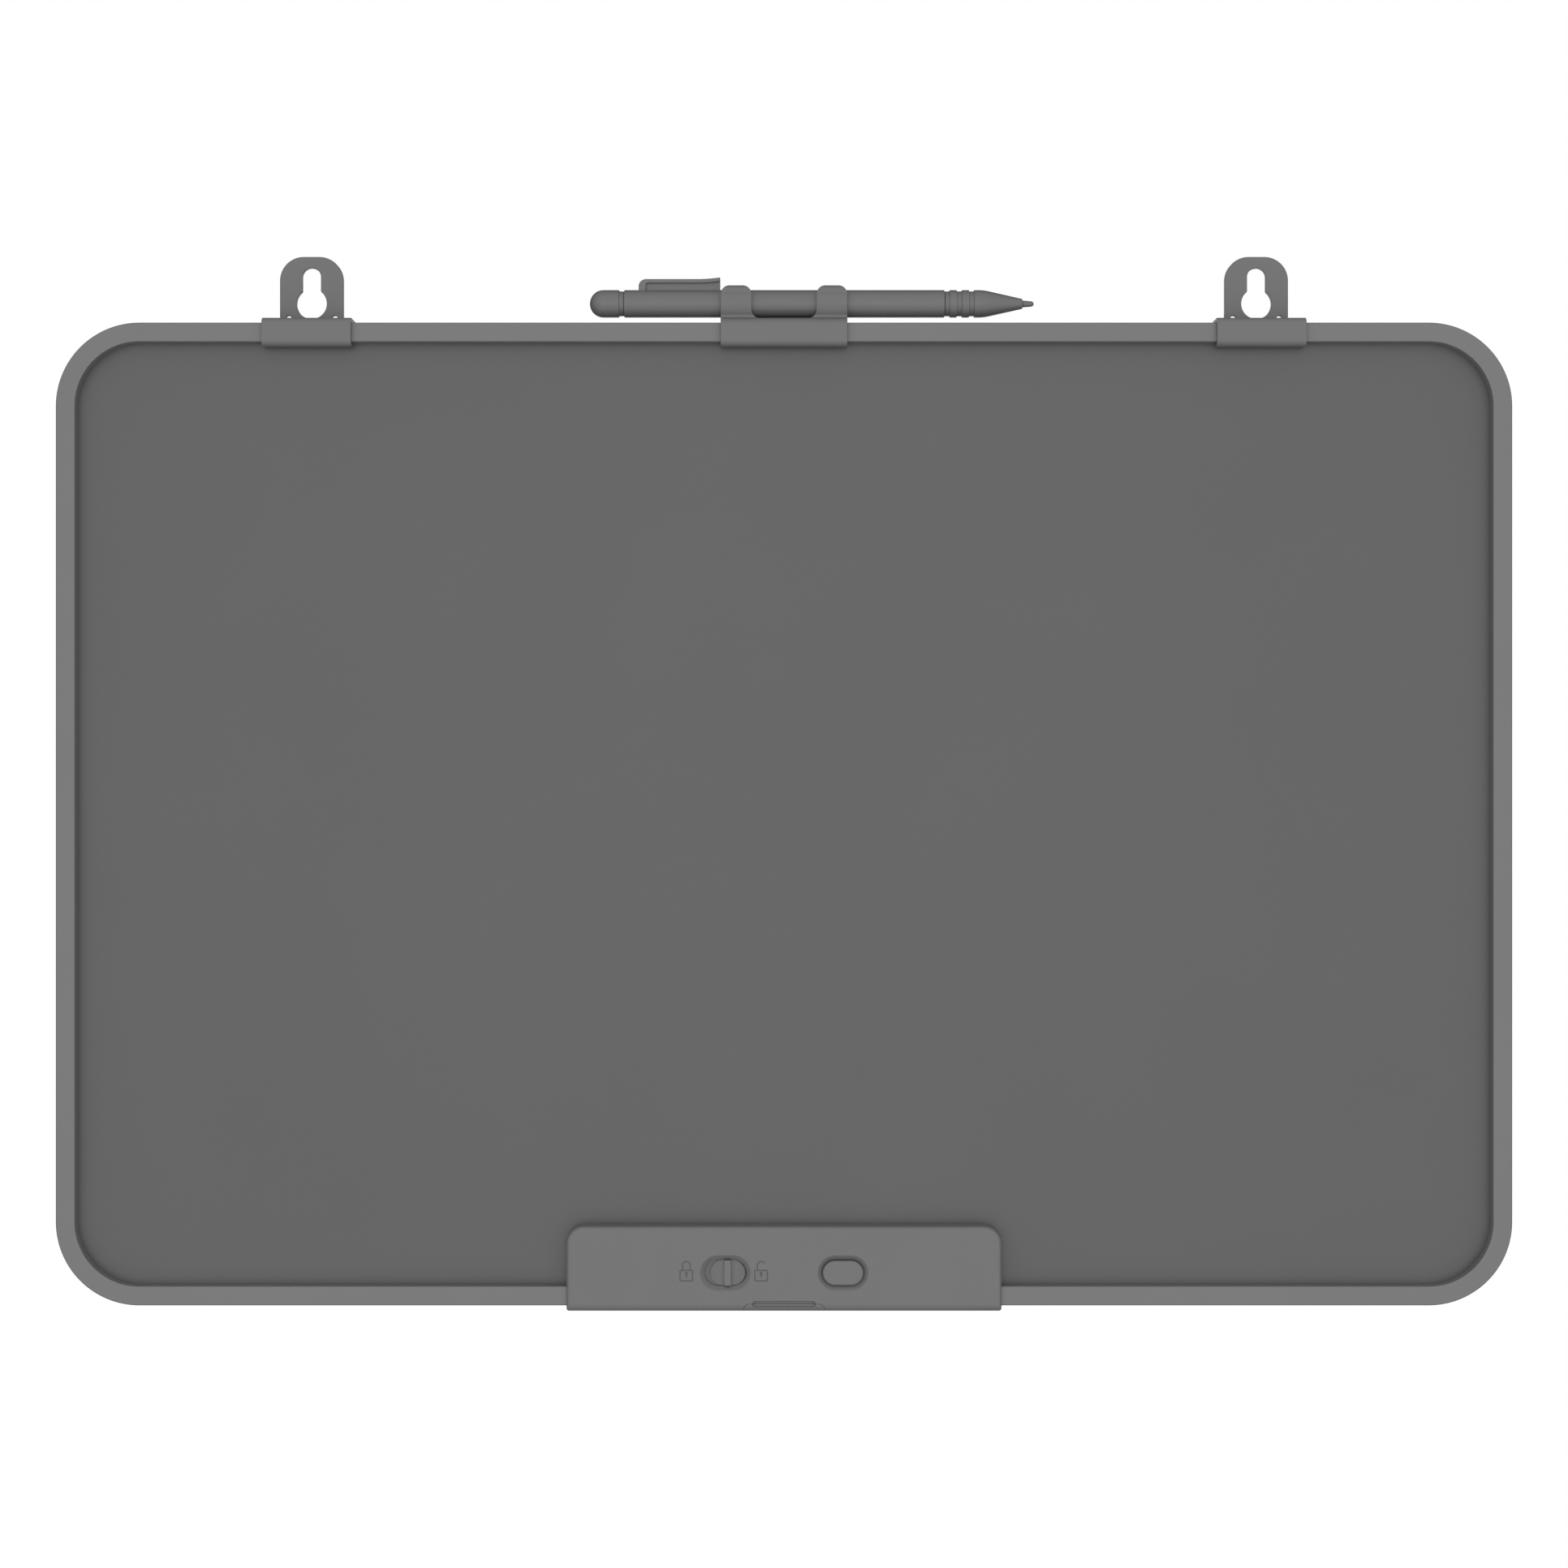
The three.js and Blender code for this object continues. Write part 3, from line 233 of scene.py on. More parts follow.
# Material and slot of the clips, the housing and its controls
CASE = ("moulded_abs_case", "case_plastic")


def mesh_of(shape):
    """The mesh of a bmesh, which is freed."""
    mesh = bpy.data.meshes.new("shape")
    shape.to_mesh(mesh)
    shape.free()
    return mesh


def skin(rings):
    """A closed skin over rings of points, capped at both ends."""
    shape = bmesh.new()
    loops = [[shape.verts.new(point) for point in ring] for ring in rings]
    for here, there in zip(loops, loops[1:]):
        for i in range(len(here)):
            j = (i + 1) % len(here)
            shape.faces.new((here[i], here[j], there[j], there[i]))
    shape.faces.new(loops[0][::-1])
    shape.faces.new(loops[-1])
    bmesh.ops.remove_doubles(shape, verts=shape.verts, dist=SAME_POINT)
    bmesh.ops.recalc_face_normals(shape, faces=shape.faces)
    return mesh_of(shape)


def around(start, end, steps):
    """Numbers from start to end."""
    return [start + (end - start) * k / steps for k in range(steps + 1)]


def rounded(left, right, bottom, top, low_radius, high_radius, steps):
    """A rectangle with rounded corners in x and z, anticlockwise from the front, from the lower right."""
    corners = (
        (right - low_radius, bottom + low_radius, low_radius, -QUARTER),
        (right - high_radius, top - high_radius, high_radius, 0),
        (left + high_radius, top - high_radius, high_radius, QUARTER),
        (left + low_radius, bottom + low_radius, low_radius, 2 * QUARTER),
    )
    return [
        (x + radius * math.cos(angle), z + radius * math.sin(angle))
        for x, z, radius, start in corners
        for angle in around(start, start + QUARTER, steps)
    ]


def stadium(x, z, length, height, steps=16):
    """A slot with round ends in x and z."""
    half, radius = length / 2, height / 2
    return rounded(x - half, x + half, z - radius, z + radius, radius, radius, steps)


def at_depth(outline, y):
    """An outline in x and z, placed at a depth."""
    return [(x, y, z) for x, z in outline]


def through(outline, front, back):
    """An outline in x and z carried through the depth."""
    return skin([at_depth(outline, front), at_depth(outline, back)])


def across(outline, left, right):
    """An outline in y and z carried along X."""
    return skin([[(left, y, z) for y, z in outline], [(right, y, z) for y, z in outline]])


def block(left, right, front, back, bottom, top):
    """A plain block, for joining and cutting."""
    return through([(left, bottom), (right, bottom), (right, top), (left, top)], front, back)


def arc(across_at, up_at, radius, start, end, steps=12):
    """Points on an arc, with its angles in quarter turns."""
    return [
        (across_at + radius * math.cos(angle), up_at + radius * math.sin(angle))
        for angle in around(start * QUARTER, end * QUARTER, steps)
    ]


def peg(x, z, radius, front, back, steps=72):
    """A round peg through the depth."""
    return through(arc(x, z, radius, 0, 4, steps)[:-1], front, back)


def bent(start, corner, end, steps=12):
    """Points on a quadratic curve."""
    return [
        tuple((1 - t) ** 2 * a + 2 * t * (1 - t) * b + t * t * c for a, b, c in zip(start, corner, end))
        for t in around(0, 1, steps)
    ]


def eased(points, radius, steps=4):
    """An open line of points whose inner corners are drawn round."""
    made = [points[0]]
    for before, corner, after in zip(points, points[1:], points[2:]):
        ends = []
        for other in (before, after):
            reach = math.dist(other, corner)
            share = min(radius, reach / 2) / reach
            ends.append(tuple(c + (o - c) * share for c, o in zip(corner, other)))
        made.extend(bent(ends[0], corner, ends[1], steps))
    return made + [points[-1]]


def round_inset(radius, depth):
    """How far a rounded edge has drawn in at a depth below the face."""
    return 0 if depth >= radius else radius - math.sqrt(radius**2 - (radius - depth) ** 2)


def modified(mesh, kind, **settings):
    """The mesh with one modifier applied."""
    piece = bpy.data.objects.new("work", mesh)
    bpy.context.scene.collection.objects.link(piece)
    modifier = piece.modifiers.new("step", kind)
    for name, value in settings.items():
        setattr(modifier, name, value)
    graph = bpy.context.evaluated_depsgraph_get()
    made = bpy.data.meshes.new_from_object(piece.evaluated_get(graph))
    bpy.data.objects.remove(piece)
    return made


def combined(mesh, operation, *others):
    """The mesh after a boolean step with each of the others."""
    for other in others:
        tool = bpy.data.objects.new("tool", other)
        bpy.context.scene.collection.objects.link(tool)
        mesh = modified(mesh, "BOOLEAN", operation=operation, solver="EXACT", object=tool)
        bpy.data.objects.remove(tool)
        if not mesh.polygons:
            raise RuntimeError(f"nothing is left after a {operation.lower()} step")
    return mesh


def joined(mesh, *others):
    """The mesh with the others joined to it."""
    return combined(mesh, "UNION", *others)


def without(mesh, *others):
    """The mesh with the others cut away."""
    return combined(mesh, "DIFFERENCE", *others)


def common(mesh, other):
    """What the two have in common."""
    return combined(mesh, "INTERSECT", other)


def tidied(mesh):
    """The mesh with whole flat faces and no double points."""
    shape = bmesh.new()
    shape.from_mesh(mesh)
    bmesh.ops.remove_doubles(shape, verts=shape.verts, dist=STRAY_POINT)
    bmesh.ops.dissolve_limit(
        shape, angle_limit=math.radians(STRAY_TURN), verts=shape.verts, edges=shape.edges, delimit=set(),
    )
    return mesh_of(shape)


def softened(mesh, width, segments=2, angle=30):
    """The mesh with its sharp edges rounded."""
    return modified(
        mesh, "BEVEL", width=width, segments=segments, limit_method="ANGLE", angle_limit=math.radians(angle),
        use_clamp_overlap=False, loop_slide=True,
    )


def held_in(mesh, node):
    """The mesh with every point inside the CAD node's box, which a bevel can overstep at a thin corner."""
    low, high = node_box(node)
    for vertex in mesh.vertices:
        vertex.co = [min(max(c, least), most) for c, least, most in zip(vertex.co, low, high)]
    return mesh


def shaded(mesh, crease):
    """Smooth faces, with sharp edges kept and flat faces true."""
    mesh.polygons.foreach_set("use_smooth", [True] * len(mesh.polygons))
    mesh.set_sharp_from_angle(angle=math.radians(crease))
    return modified(mesh, "WEIGHTED_NORMAL", keep_sharp=True, weight=80)


def finished(name, mesh, material, slot, body, *nodes, crease=32, unit=METRE):
    """The piece in metres, on its body, in place of its CAD nodes."""
    mesh.transform(Matrix.Scale(unit, 4))
    mesh = shaded(mesh, crease)
    mesh.name = name
    mesh.materials.clear()
    mesh.materials.append(bpy.data.materials[material])
    piece = bpy.data.objects.new(name, mesh)
    bpy.context.scene.collection.objects.link(piece)
    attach(piece, body)
    if nodes:
        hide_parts(*nodes)


# Sizes and colours


class BoardColours(bpy.types.PropertyGroup):
    """Colours of the plastics and the sheet."""

    frame: bpy.props.FloatVectorProperty(
        name="Frame", description="Moulded bezel round the sheet", subtype="COLOR", size=4,
        min=0, max=1, default=linear("6b6b6b"),
    )
    case: bpy.props.FloatVectorProperty(
        name="Case", description="Hooks, holder, housing and controls", subtype="COLOR", size=4,
        min=0, max=1, default=linear("656565"),
    )
    pen: bpy.props.FloatVectorProperty(
        name="Pen", description="All four pieces of the pen", subtype="COLOR", size=4,
        min=0, max=1, default=linear("626262"),
    )
    sheet: bpy.props.FloatVectorProperty(
        name="Sheet", description="Writing sheet", subtype="COLOR", size=4,
        min=0, max=1, default=linear("4c4c4c"),
    )


class BoardSizes(bpy.types.PropertyGroup):
    """Sizes of the details that the looks add."""

    edge: bpy.props.FloatProperty(
        name="Edge rounding", description="Radius of the moulded edges", unit="LENGTH",
        default=0.0002, min=0.00005, max=0.001,
    )
    scoop: bpy.props.FloatProperty(
        name="Scoop radius", description="Radius of the two finger scoops of the knob", unit="LENGTH",
        default=0.007, min=0.007, max=0.05,
    )
    sign_line: bpy.props.FloatProperty(
        name="Sign line", description="Width of the padlock signs' lines", unit="LENGTH",
        default=0.00036, min=0.0001, max=0.001,
    )
    thread_pitch: bpy.props.FloatProperty(
        name="Thread pitch", description="Step of the housing screws' threads", unit="LENGTH",
        default=0.0007, min=0.0003, max=0.002,
    )
    turn_seed: bpy.props.IntProperty(
        name="Turn seed", description="Chooses how far each housing screw is turned", default=7, min=0,
    )


def size_of(context, name):
    """One of the sizes above, in millimetres."""
    return getattr(context.scene.board_sizes, name) / METRE


# Writing board

BEZEL_FACE = 6.0
BEZEL_WALL = 3.0
CORNER_RADIUS = 26.2
OUTER_ROUND = 0.5
INNER_ROUND = 0.3
SHEET_GAP = 0.2
NOTCH_SIDE = 64.1
NOTCH_REACH = 65.0
CORNER_STEPS = 32


def board_outline(inset):
    """The board's outline, drawn in by an amount."""
    low, high = node_box("frame_bezel")
    radius = CORNER_RADIUS - inset
    return rounded(low.x + inset, high.x - inset, low.z + inset, high.z - inset, radius, radius, CORNER_STEPS)


def bezel_section():
    """The bezel's section as inset and depth, from the rear of its outer wall round the front to its lip."""
    low, high = node_box("frame_bezel")
    lip_back = node_box("writing_sheet")[0].y - SEAT
    arcs = (
        (OUTER_ROUND, high.y - OUTER_ROUND, OUTER_ROUND, QUARTER),
        (OUTER_ROUND, low.y + OUTER_ROUND, OUTER_ROUND, 2 * QUARTER),
        (BEZEL_FACE - INNER_ROUND, low.y + INNER_ROUND, INNER_ROUND, 3 * QUARTER),
    )
    section = [
        (inset + radius * math.cos(angle), y + radius * math.sin(angle))
        for inset, y, radius, start in arcs
        for angle in around(start, start + QUARTER, 6)
    ]
    return section + [(BEZEL_FACE, lip_back), (BEZEL_WALL, lip_back), (BEZEL_WALL, high.y)]


class BOARD_OT_frame(bpy.types.Operator):
    """Makes the bezel as one section carried round the board, open where the housing sits"""

    bl_idname = "board.frame"
    bl_label = "Frame"

    def execute(self, context):
        low = node_box("frame_bezel")[0]
        paths = []
        for inset, y in bezel_section():
            bottom = low.z + inset
            outline = [(NOTCH_SIDE, bottom), *board_outline(inset), (-NOTCH_SIDE, bottom)]
            paths.append(at_depth(outline, y))
        ring = skin(list(zip(*paths)))
        finished("bezel_ring", ring, "moulded_abs_frame", "frame_plastic", "board", "frame_bezel")
        return {"FINISHED"}


class BOARD_OT_sheets(bpy.types.Operator):
    """Makes the writing sheet, the board behind it and the back panel, notched for the housing's works"""

    bl_idname = "board.sheets"
    bl_label = "Sheets"

    def execute(self, context):
        for name, node, material, slot, rim in (
            ("writing_film", "writing_sheet", "etched_pet_film", "sheet_film", 0.1),
            ("backing_sheet", "support_board", "grained_polystyrene", "panel_plastic", 0.15),
            ("rear_panel", "back_panel", "grained_polystyrene", "panel_plastic", 0.35),
        ):
            low, high = node_box(node)
            points = [vertex.co for vertex in frame["nodes"][node].data.vertices]
            notch = max(point.z for point in points if abs(point.x) < NOTCH_REACH * METRE) / METRE
            rings = []
            for inset, y in ((rim, low.y), (0, low.y + rim), (0, high.y - rim), (rim, high.y)):
                outline = board_outline(BEZEL_WALL + SHEET_GAP + inset)
                foot = low.z + inset
                side = NOTCH_SIDE + inset
                top = notch + inset
                steps = [(-side, foot), (-side, top), (side, top), (side, foot)]
                rings.append(at_depth([*outline, *steps], y))
            finished(name, skin(rings), material, slot, "board", node)
        return {"FINISHED"}


# Clips

CLIP_WALL = 1.5
FOOT = 1.4
FOOT_REACH = 2.9
FOOT_ROUND = 0.6
FRONT_ROUND = 2.2
LOWER_ROUND = 2.0
REAR_ROUND = 0.8
CLIP_TOP_ABOVE_BOARD = 1.5


def clip_top():
    """Height of the clips' upper side."""
    return node_box("frame_bezel")[1].z + CLIP_TOP_ABOVE_BOARD


def clip_form(node, rear_front, rear_back, upper):
    """A clip over the board's edge: a wall and a foot in front, a given upper line, and a leg behind."""
    board_low, board_high = node_box("frame_bezel")
    low, high = node_box(node)
    top = clip_top()
    inner = low.y + CLIP_WALL
    foot_top = board_high.z - BEZEL_FACE - SEAT
    foot_bottom = foot_top - FOOT
    foot_end = board_low.y + FOOT_REACH
    under = board_high.z + SEAT
    leg = (rear_back - rear_front) / 2
    section = [
        (inner, foot_top), (inner, under), (rear_front, under),
        *arc(rear_front + leg, low.z + leg, leg, 2, 4, 20),
        *arc(rear_back - REAR_ROUND, top - REAR_ROUND, REAR_ROUND, 0, 1),
        *upper,
        *arc(low.y + LOWER_ROUND, foot_bottom + LOWER_ROUND, LOWER_ROUND, 2, 3),
        *arc(foot_end - FOOT_ROUND, foot_bottom + FOOT_ROUND, FOOT_ROUND, 3, 4, 6),
        (foot_end, foot_top),
    ]
    return across(section, low.x, high.x)


def plain_top(node):
    """The rounding between a clip's upper side and its front."""
    return arc(node_box(node)[0].y + FRONT_ROUND, clip_top() - FRONT_ROUND, FRONT_ROUND, 1, 2)


TAB_SIDE = 10.0
TAB_DEPTH = 2.4
TAB_RADIUS = 7.5
SLOT_RADIUS = 2.95
KEYHOLE_RADIUS = 4.8
KEYHOLE_DROP = 8.4
NAIL_RADIUS = 0.93
NAIL_SIDE = 7.3
NAIL_ABOVE_BOARD = 2.75


def hook_form(node):
    """A clip with an upright tab that has a keyhole and two nail holes."""
    low, high = node_box(node)
    middle = (low.x + high.x) / 2
    board_top = node_box("frame_bezel")[1].z
    tab = [
        (middle - TAB_SIDE, board_top - TAB_SIDE), (middle + TAB_SIDE, board_top - TAB_SIDE),
        *arc(middle + TAB_SIDE - TAB_RADIUS, high.z - TAB_RADIUS, TAB_RADIUS, 0, 1, 20),
        *arc(middle - TAB_SIDE + TAB_RADIUS, high.z - TAB_RADIUS, TAB_RADIUS, 1, 2, 20),
    ]
    body = joined(clip_form(node, -TAB_DEPTH, 0, plain_top(node)), through(tab, -TAB_DEPTH, 0))
    slot = [
        (middle - SLOT_RADIUS, -KEYHOLE_DROP), (middle + SLOT_RADIUS, -KEYHOLE_DROP),
        *arc(middle, 0, SLOT_RADIUS, 0, 2, 32),
    ]
    front, back = -2 * TAB_DEPTH, TAB_DEPTH
    nails = [
        peg(middle + side, board_top + NAIL_ABOVE_BOARD, NAIL_RADIUS, front, back, 32)
        for side in (-NAIL_SIDE, NAIL_SIDE)
    ]
    keyhole = joined(peg(middle, -KEYHOLE_DROP, KEYHOLE_RADIUS, front, back), through(slot, front, back))
    return without(body, keyhole, *nails)


class BOARD_OT_hooks(bpy.types.Operator):
    """Makes the two hooks that clip over the board's upper edge"""

    bl_idname = "board.hooks"
    bl_label = "Hooks"

    def execute(self, context):
        for side in ("left", "right"):
            node = f"hook_{side}"
            mesh = held_in(softened(tidied(hook_form(node)), size_of(context, "edge"), segments=3), node)
            finished(f"hanging_{node}", mesh, *CASE, f"{side}_hook", node)
        return {"FINISHED"}


# Pen holder

PEN_RADIUS = 4.32
CRADLE_INNER = 4.45
CRADLE_OUTER = 5.95
CRADLE_BACK_ANGLE = 35
FINGER_ANGLE = 30
FINGER_WIDTH = 9.7
FINGER_LIP = 1.3
FINGER_FLARE = 0.3
FINGER_ROUND = 2.9
WINDOW_ROUND = 2.5
FILLET = 0.9
HOLDER_ROUND = 2.6


def pen_axis():
    """Depth and height of the pen's axis."""
    low, high = node_box("pen_nose")
    return (low.y + high.y) / 2, (low.z + high.z) / 2


def turn_to(start, end):
    """The direction from one point to another, in quarter turns."""
    return math.atan2(end[1] - start[1], end[0] - start[0]) / QUARTER


def resting_circle(first, first_radius, second, second_radius):
    """Centre of a circle of the fillet's radius that rests on two round forms, on their front side."""
    apart = math.dist(first, second)
    reach, other = first_radius + FILLET, second_radius + FILLET
    along = (reach**2 - other**2 + apart**2) / (2 * apart)
    aside = math.sqrt(reach**2 - along**2)
    ahead = [(b - a) / apart for a, b in zip(first, second)]
    return first[0] + along * ahead[0] + aside * ahead[1], first[1] + along * ahead[1] - aside * ahead[0]


def cradle_line():
    """The holder's upper line: rear fillet, low back, round floor, lip leaning forward, and front fillet."""
    axis = y, z = pen_axis()
    low, high = node_box("pen_holder")
    top = clip_top()
    tip, back = 2 - FINGER_ANGLE / 90, CRADLE_BACK_ANGLE / 90
    lip_back = y + CRADLE_OUTER * math.cos(tip * QUARTER) + FINGER_LIP
    inner_tip = math.acos((lip_back - y) / CRADLE_INNER) / QUARTER
    middle = (CRADLE_INNER + CRADLE_OUTER) / 2
    wall = (CRADLE_OUTER - CRADLE_INNER) / 2
    lip = FINGER_LIP / 2
    rim = (y + middle * math.cos(back * QUARTER), z + middle * math.sin(back * QUARTER))
    reach = math.sqrt((CRADLE_OUTER + FILLET) ** 2 - (top + FILLET - z) ** 2)
    rear = (y + reach, top + FILLET)
    edge = (low.y + HOLDER_ROUND, top - HOLDER_ROUND)
    fore = resting_circle(axis, CRADLE_OUTER, edge, HOLDER_ROUND)
    return [
        *arc(*rear, FILLET, 3, turn_to(rear, axis), 12),
        *arc(*axis, CRADLE_OUTER, turn_to(axis, rear), back, 36),
        *arc(*rim, wall, back, back + 2, 16),
        *arc(*axis, CRADLE_INNER, back, inner_tip - 4, 96),
        *arc(lip_back - FINGER_FLARE - lip, high.z - lip, lip, 0, 2, 16),
        *arc(*axis, CRADLE_OUTER, tip, turn_to(axis, fore) + 4, 36),
        *arc(*fore, FILLET, turn_to(fore, axis), turn_to(fore, edge), 16),
        *arc(*edge, HOLDER_ROUND, turn_to(edge, fore), 2, 16),
    ]


def beside_fingers():
    """What is cut away of the cradle seen from the front, leaving two fingers with a window between them."""
    high = node_box("pen_holder")[1]
    half, top = high.x, high.z
    gap = half - FINGER_WIDTH
    sill = clip_top()
    finger, window = FINGER_ROUND, WINDOW_ROUND
    far = 3 * finger
    return [
        (half + far, top - finger),
        *arc(half - finger, top - finger, finger, 0, 1, 16),
        *arc(gap + finger, top - finger, finger, 1, 2, 16),
        *arc(gap - window, sill + window, window, 0, -1, 16),
        *arc(-gap + window, sill + window, window, -1, -2, 16),
        *arc(-gap - finger, top - finger, finger, 0, 1, 16),
        *arc(-half + finger, top - finger, finger, 1, 2, 16),
        (-half - far, top - finger), (-half - far, top + far), (half + far, top + far),
    ]


def holder_form():
    """A clip with a cradle for the pen on it."""
    y = pen_axis()[0]
    whole = clip_form("pen_holder", -TAB_DEPTH, -TAB_DEPTH + CLIP_WALL, cradle_line())
    return without(whole, through(beside_fingers(), y - 3 * CRADLE_OUTER, y))


class BOARD_OT_holder(bpy.types.Operator):
    """Makes the pen holder with its cradle and fingers"""

    bl_idname = "board.holder"
    bl_label = "Pen holder"

    def execute(self, context):
        mesh = softened(tidied(holder_form()), size_of(context, "edge"), segments=3)
        mesh = held_in(mesh, "pen_holder")
        finished("pen_cradle", mesh, *CASE, "holder", "pen_holder")
        return {"FINISHED"}


# Pen

GROOVE_DEPTH = 0.42
GROOVE_WIDTH = 1.5
GROOVE_PITCH = 3.85
GROOVES = 3
PEN_EASE = 0.28
AXIS_RADIUS = 0.002
MOUTH_DEPTH = 1.0
BORE_RADIUS = 3.32
SPIGOT_RADIUS = 3.22
SPIGOT_LENGTH = 5.0
CONE_LENGTH = 12.3
CONE_END_RADIUS = 1.57
CONE_EASE = 1.6
NIB_RADIUS = 1.08
NIB_SHANK = 0.98
NIB_TIP_RADIUS = 0.85
NIB_BORE = 5.0
NIB_EASE = 0.06


def turned(profile, ease=PEN_EASE, steps=96):
    """A revolved piece on the pen's axis, from pairs of distance along X and radius."""
    y, z = pen_axis()
    rings = []
    for x, radius in eased(profile, ease):
        rings.append([(x, *point) for point in arc(y, z, max(radius, AXIS_RADIUS), 0, 4, steps)[:-1]])
    return skin(rings)


def tail_form():
    """The pen's round tail with the spigot that goes into the barrel."""
    low, high = node_box("pen_tail_cap")
    shoulder = high.x - SPIGOT_LENGTH
    end = shoulder - GROOVE_WIDTH
    neck = PEN_RADIUS - GROOVE_DEPTH
    dome = [
        (low.x + PEN_RADIUS * (1 - math.cos(a)), PEN_RADIUS * math.sin(a)) for a in around(0, QUARTER, 24)
    ]
    rest = [(end, PEN_RADIUS), (end, neck), (shoulder, neck), (shoulder, SPIGOT_RADIUS)]
    return turned([*dome, *rest, (high.x, SPIGOT_RADIUS), (high.x, 0)])


FIN_RISE = 3.3
FIN_BAR = 1.25
FIN_FLARE = 0.55
FIN_FLARE_LENGTH = 7.0
FIN_START = -45.7
FIN_PILLAR = 2.3
FIN_ROUND = 2.3
FIN_SIDE = 1.7
FIN_EASE = 0.3
FIN_CORNER = 0.6
FIN_SUNK = 0.5
FIN_WEB_SIDE = 0.7
FIN_WEB_START = 1.0
FIN_WEB_DROP = 0.5
FIN_WEB_EASE = 0.12


def fin_form():
    """The pocket clip: a bar that flares up at its free end, on a pillar and a thin web."""
    y, z = pen_axis()
    left, right = FIN_START, node_box("pen_holder")[0].x - SLIP
    top = z + PEN_RADIUS + FIN_RISE
    root = z + PEN_RADIUS - FIN_SUNK
    flare = right - FIN_FLARE_LENGTH
    middle = right - FIN_FLARE_LENGTH / 2
    under = top - FIN_BAR
    web_start, web_top = left + FIN_WEB_START, top - FIN_WEB_DROP
    web = [(web_start, root), (right, root), (right, top), (flare, web_top), (web_start, web_top)]
    bar = [
        (left, root), (left + FIN_PILLAR, root),
        *arc(left + FIN_PILLAR + FIN_CORNER, under - FIN_CORNER, FIN_CORNER, 2, 1, 6),
        *bent((flare, under), (middle, under), (right, under + FIN_FLARE)),
        *bent((right, top + FIN_FLARE), (middle, top), (flare, top)),
        *arc(left + FIN_ROUND, top - FIN_ROUND, FIN_ROUND, 1, 2, 16),
    ]
    thick = softened(through(bar, y - FIN_SIDE, y + FIN_SIDE), FIN_EASE, segments=3)
    thin = softened(through(web, y - FIN_WEB_SIDE, y + FIN_WEB_SIDE), FIN_WEB_EASE)
    return joined(thick, thin)


def barrel_form():
    """The pen's tube with the pocket clip on it."""
    low, high = node_box("pen_barrel")
    tube = turned([
        (low.x + MOUTH_DEPTH, BORE_RADIUS), (low.x, BORE_RADIUS), (low.x, PEN_RADIUS),
        (high.x, PEN_RADIUS), (high.x, BORE_RADIUS), (high.x - MOUTH_DEPTH, BORE_RADIUS),
    ])
    return joined(tube, fin_form())


def nose_form():
    """The pen's grip with its grooves, and the cone round the nib."""
    low, high = node_box("pen_nose")
    start = low.x + SPIGOT_LENGTH
    neck = PEN_RADIUS - GROOVE_DEPTH
    profile = [(low.x, 0), (low.x, SPIGOT_RADIUS), (start, SPIGOT_RADIUS)]
    for k in range(GROOVES):
        left = start + k * GROOVE_PITCH
        right = left + GROOVE_WIDTH
        profile += [(left, neck), (right, neck), (right, PEN_RADIUS)]
        if k < GROOVES - 1:
            profile.append((left + GROOVE_PITCH, PEN_RADIUS))
    grip_end = high.x - CONE_LENGTH
    slope = (PEN_RADIUS - CONE_END_RADIUS) / CONE_LENGTH
    past = (grip_end + CONE_EASE, PEN_RADIUS - slope * CONE_EASE)
    shoulder = bent((grip_end - CONE_EASE, PEN_RADIUS), (grip_end, PEN_RADIUS), past)
    profile += [*shoulder, (high.x, CONE_END_RADIUS), (high.x, NIB_RADIUS)]
    profile += [(high.x - NIB_BORE, NIB_RADIUS), (high.x - NIB_BORE, 0)]
    return turned(profile)


def nib_form():
    """The nib: a stiff felt-like plastic point with a rounded tip."""
    low, high = node_box("pen_nib")
    shoulder = node_box("pen_nose")[1].x + SEAT
    tip = [
        (high.x - NIB_TIP_RADIUS * (1 - math.sin(a)), NIB_TIP_RADIUS * math.cos(a))
        for a in around(0, QUARTER, 12)
    ]
    shank = [(low.x, 0), (low.x, NIB_SHANK), (shoulder, NIB_SHANK), (shoulder, NIB_RADIUS)]
    return turned([*shank, *tip], NIB_EASE)


class BOARD_OT_pen(bpy.types.Operator):
    """Makes the pen from turned pieces, with a pocket clip on its barrel"""

    bl_idname = "board.pen"
    bl_label = "Pen"

    def execute(self, context):
        for name, node, form in (
            ("pen_tail", "pen_tail_cap", tail_form), ("pen_body", "pen_barrel", barrel_form),
            ("pen_grip", "pen_nose", nose_form), ("pen_tip", "pen_nib", nib_form),
        ):
            finished(name, form(), "polished_abs_pen", "pen_plastic", "pen", node)
        return {"FINISHED"}


# Housing

SHELL_WALL = 1.5
HOUSING_TOP_RADIUS = 5.5
HOUSING_BOTTOM_RADIUS = 0.7
HOUSING_EDGE = 1.3
HOUSING_LOWER_EDGE = 2.5
HOUSING_REAR_EDGE = 0.8
HOUSING_TOP_TRIM = 0.2
CLAMP_SIDE = 64.1
CONTROLS_FROM_TOP = 14.8
DISH_LENGTH = 15.9
DISH_HEIGHT = 11.1
DISH_DEPTH = 1.3
DISH_FLOOR = 0.25
DISH_RIM = 0.2
DISH_CUT = 2.0
COLLAR_ROOM = 2.8
SLIDER_X = -18.35
SLIDER_SLOT = (12.8, 8.2)
BUTTON_X = 18.47
BUTTON_HOLE = (13.0, 8.0)
SCREW_FROM_TOP = 13.4
SCREW_SPAN_Z = 11.4
SCREW_FROM_SIDE = 11.1
SCREW_HOLE = 1.1
SCREW_SUNK = 3.0
COUNTERBORE = 2.1
PILOT_FRONT = -10.7
BOSS_WALL = 1.6
BORE_WALL = 0.8
PANEL_OVERLAP = 2.8
LIP_HEIGHT = 2.4
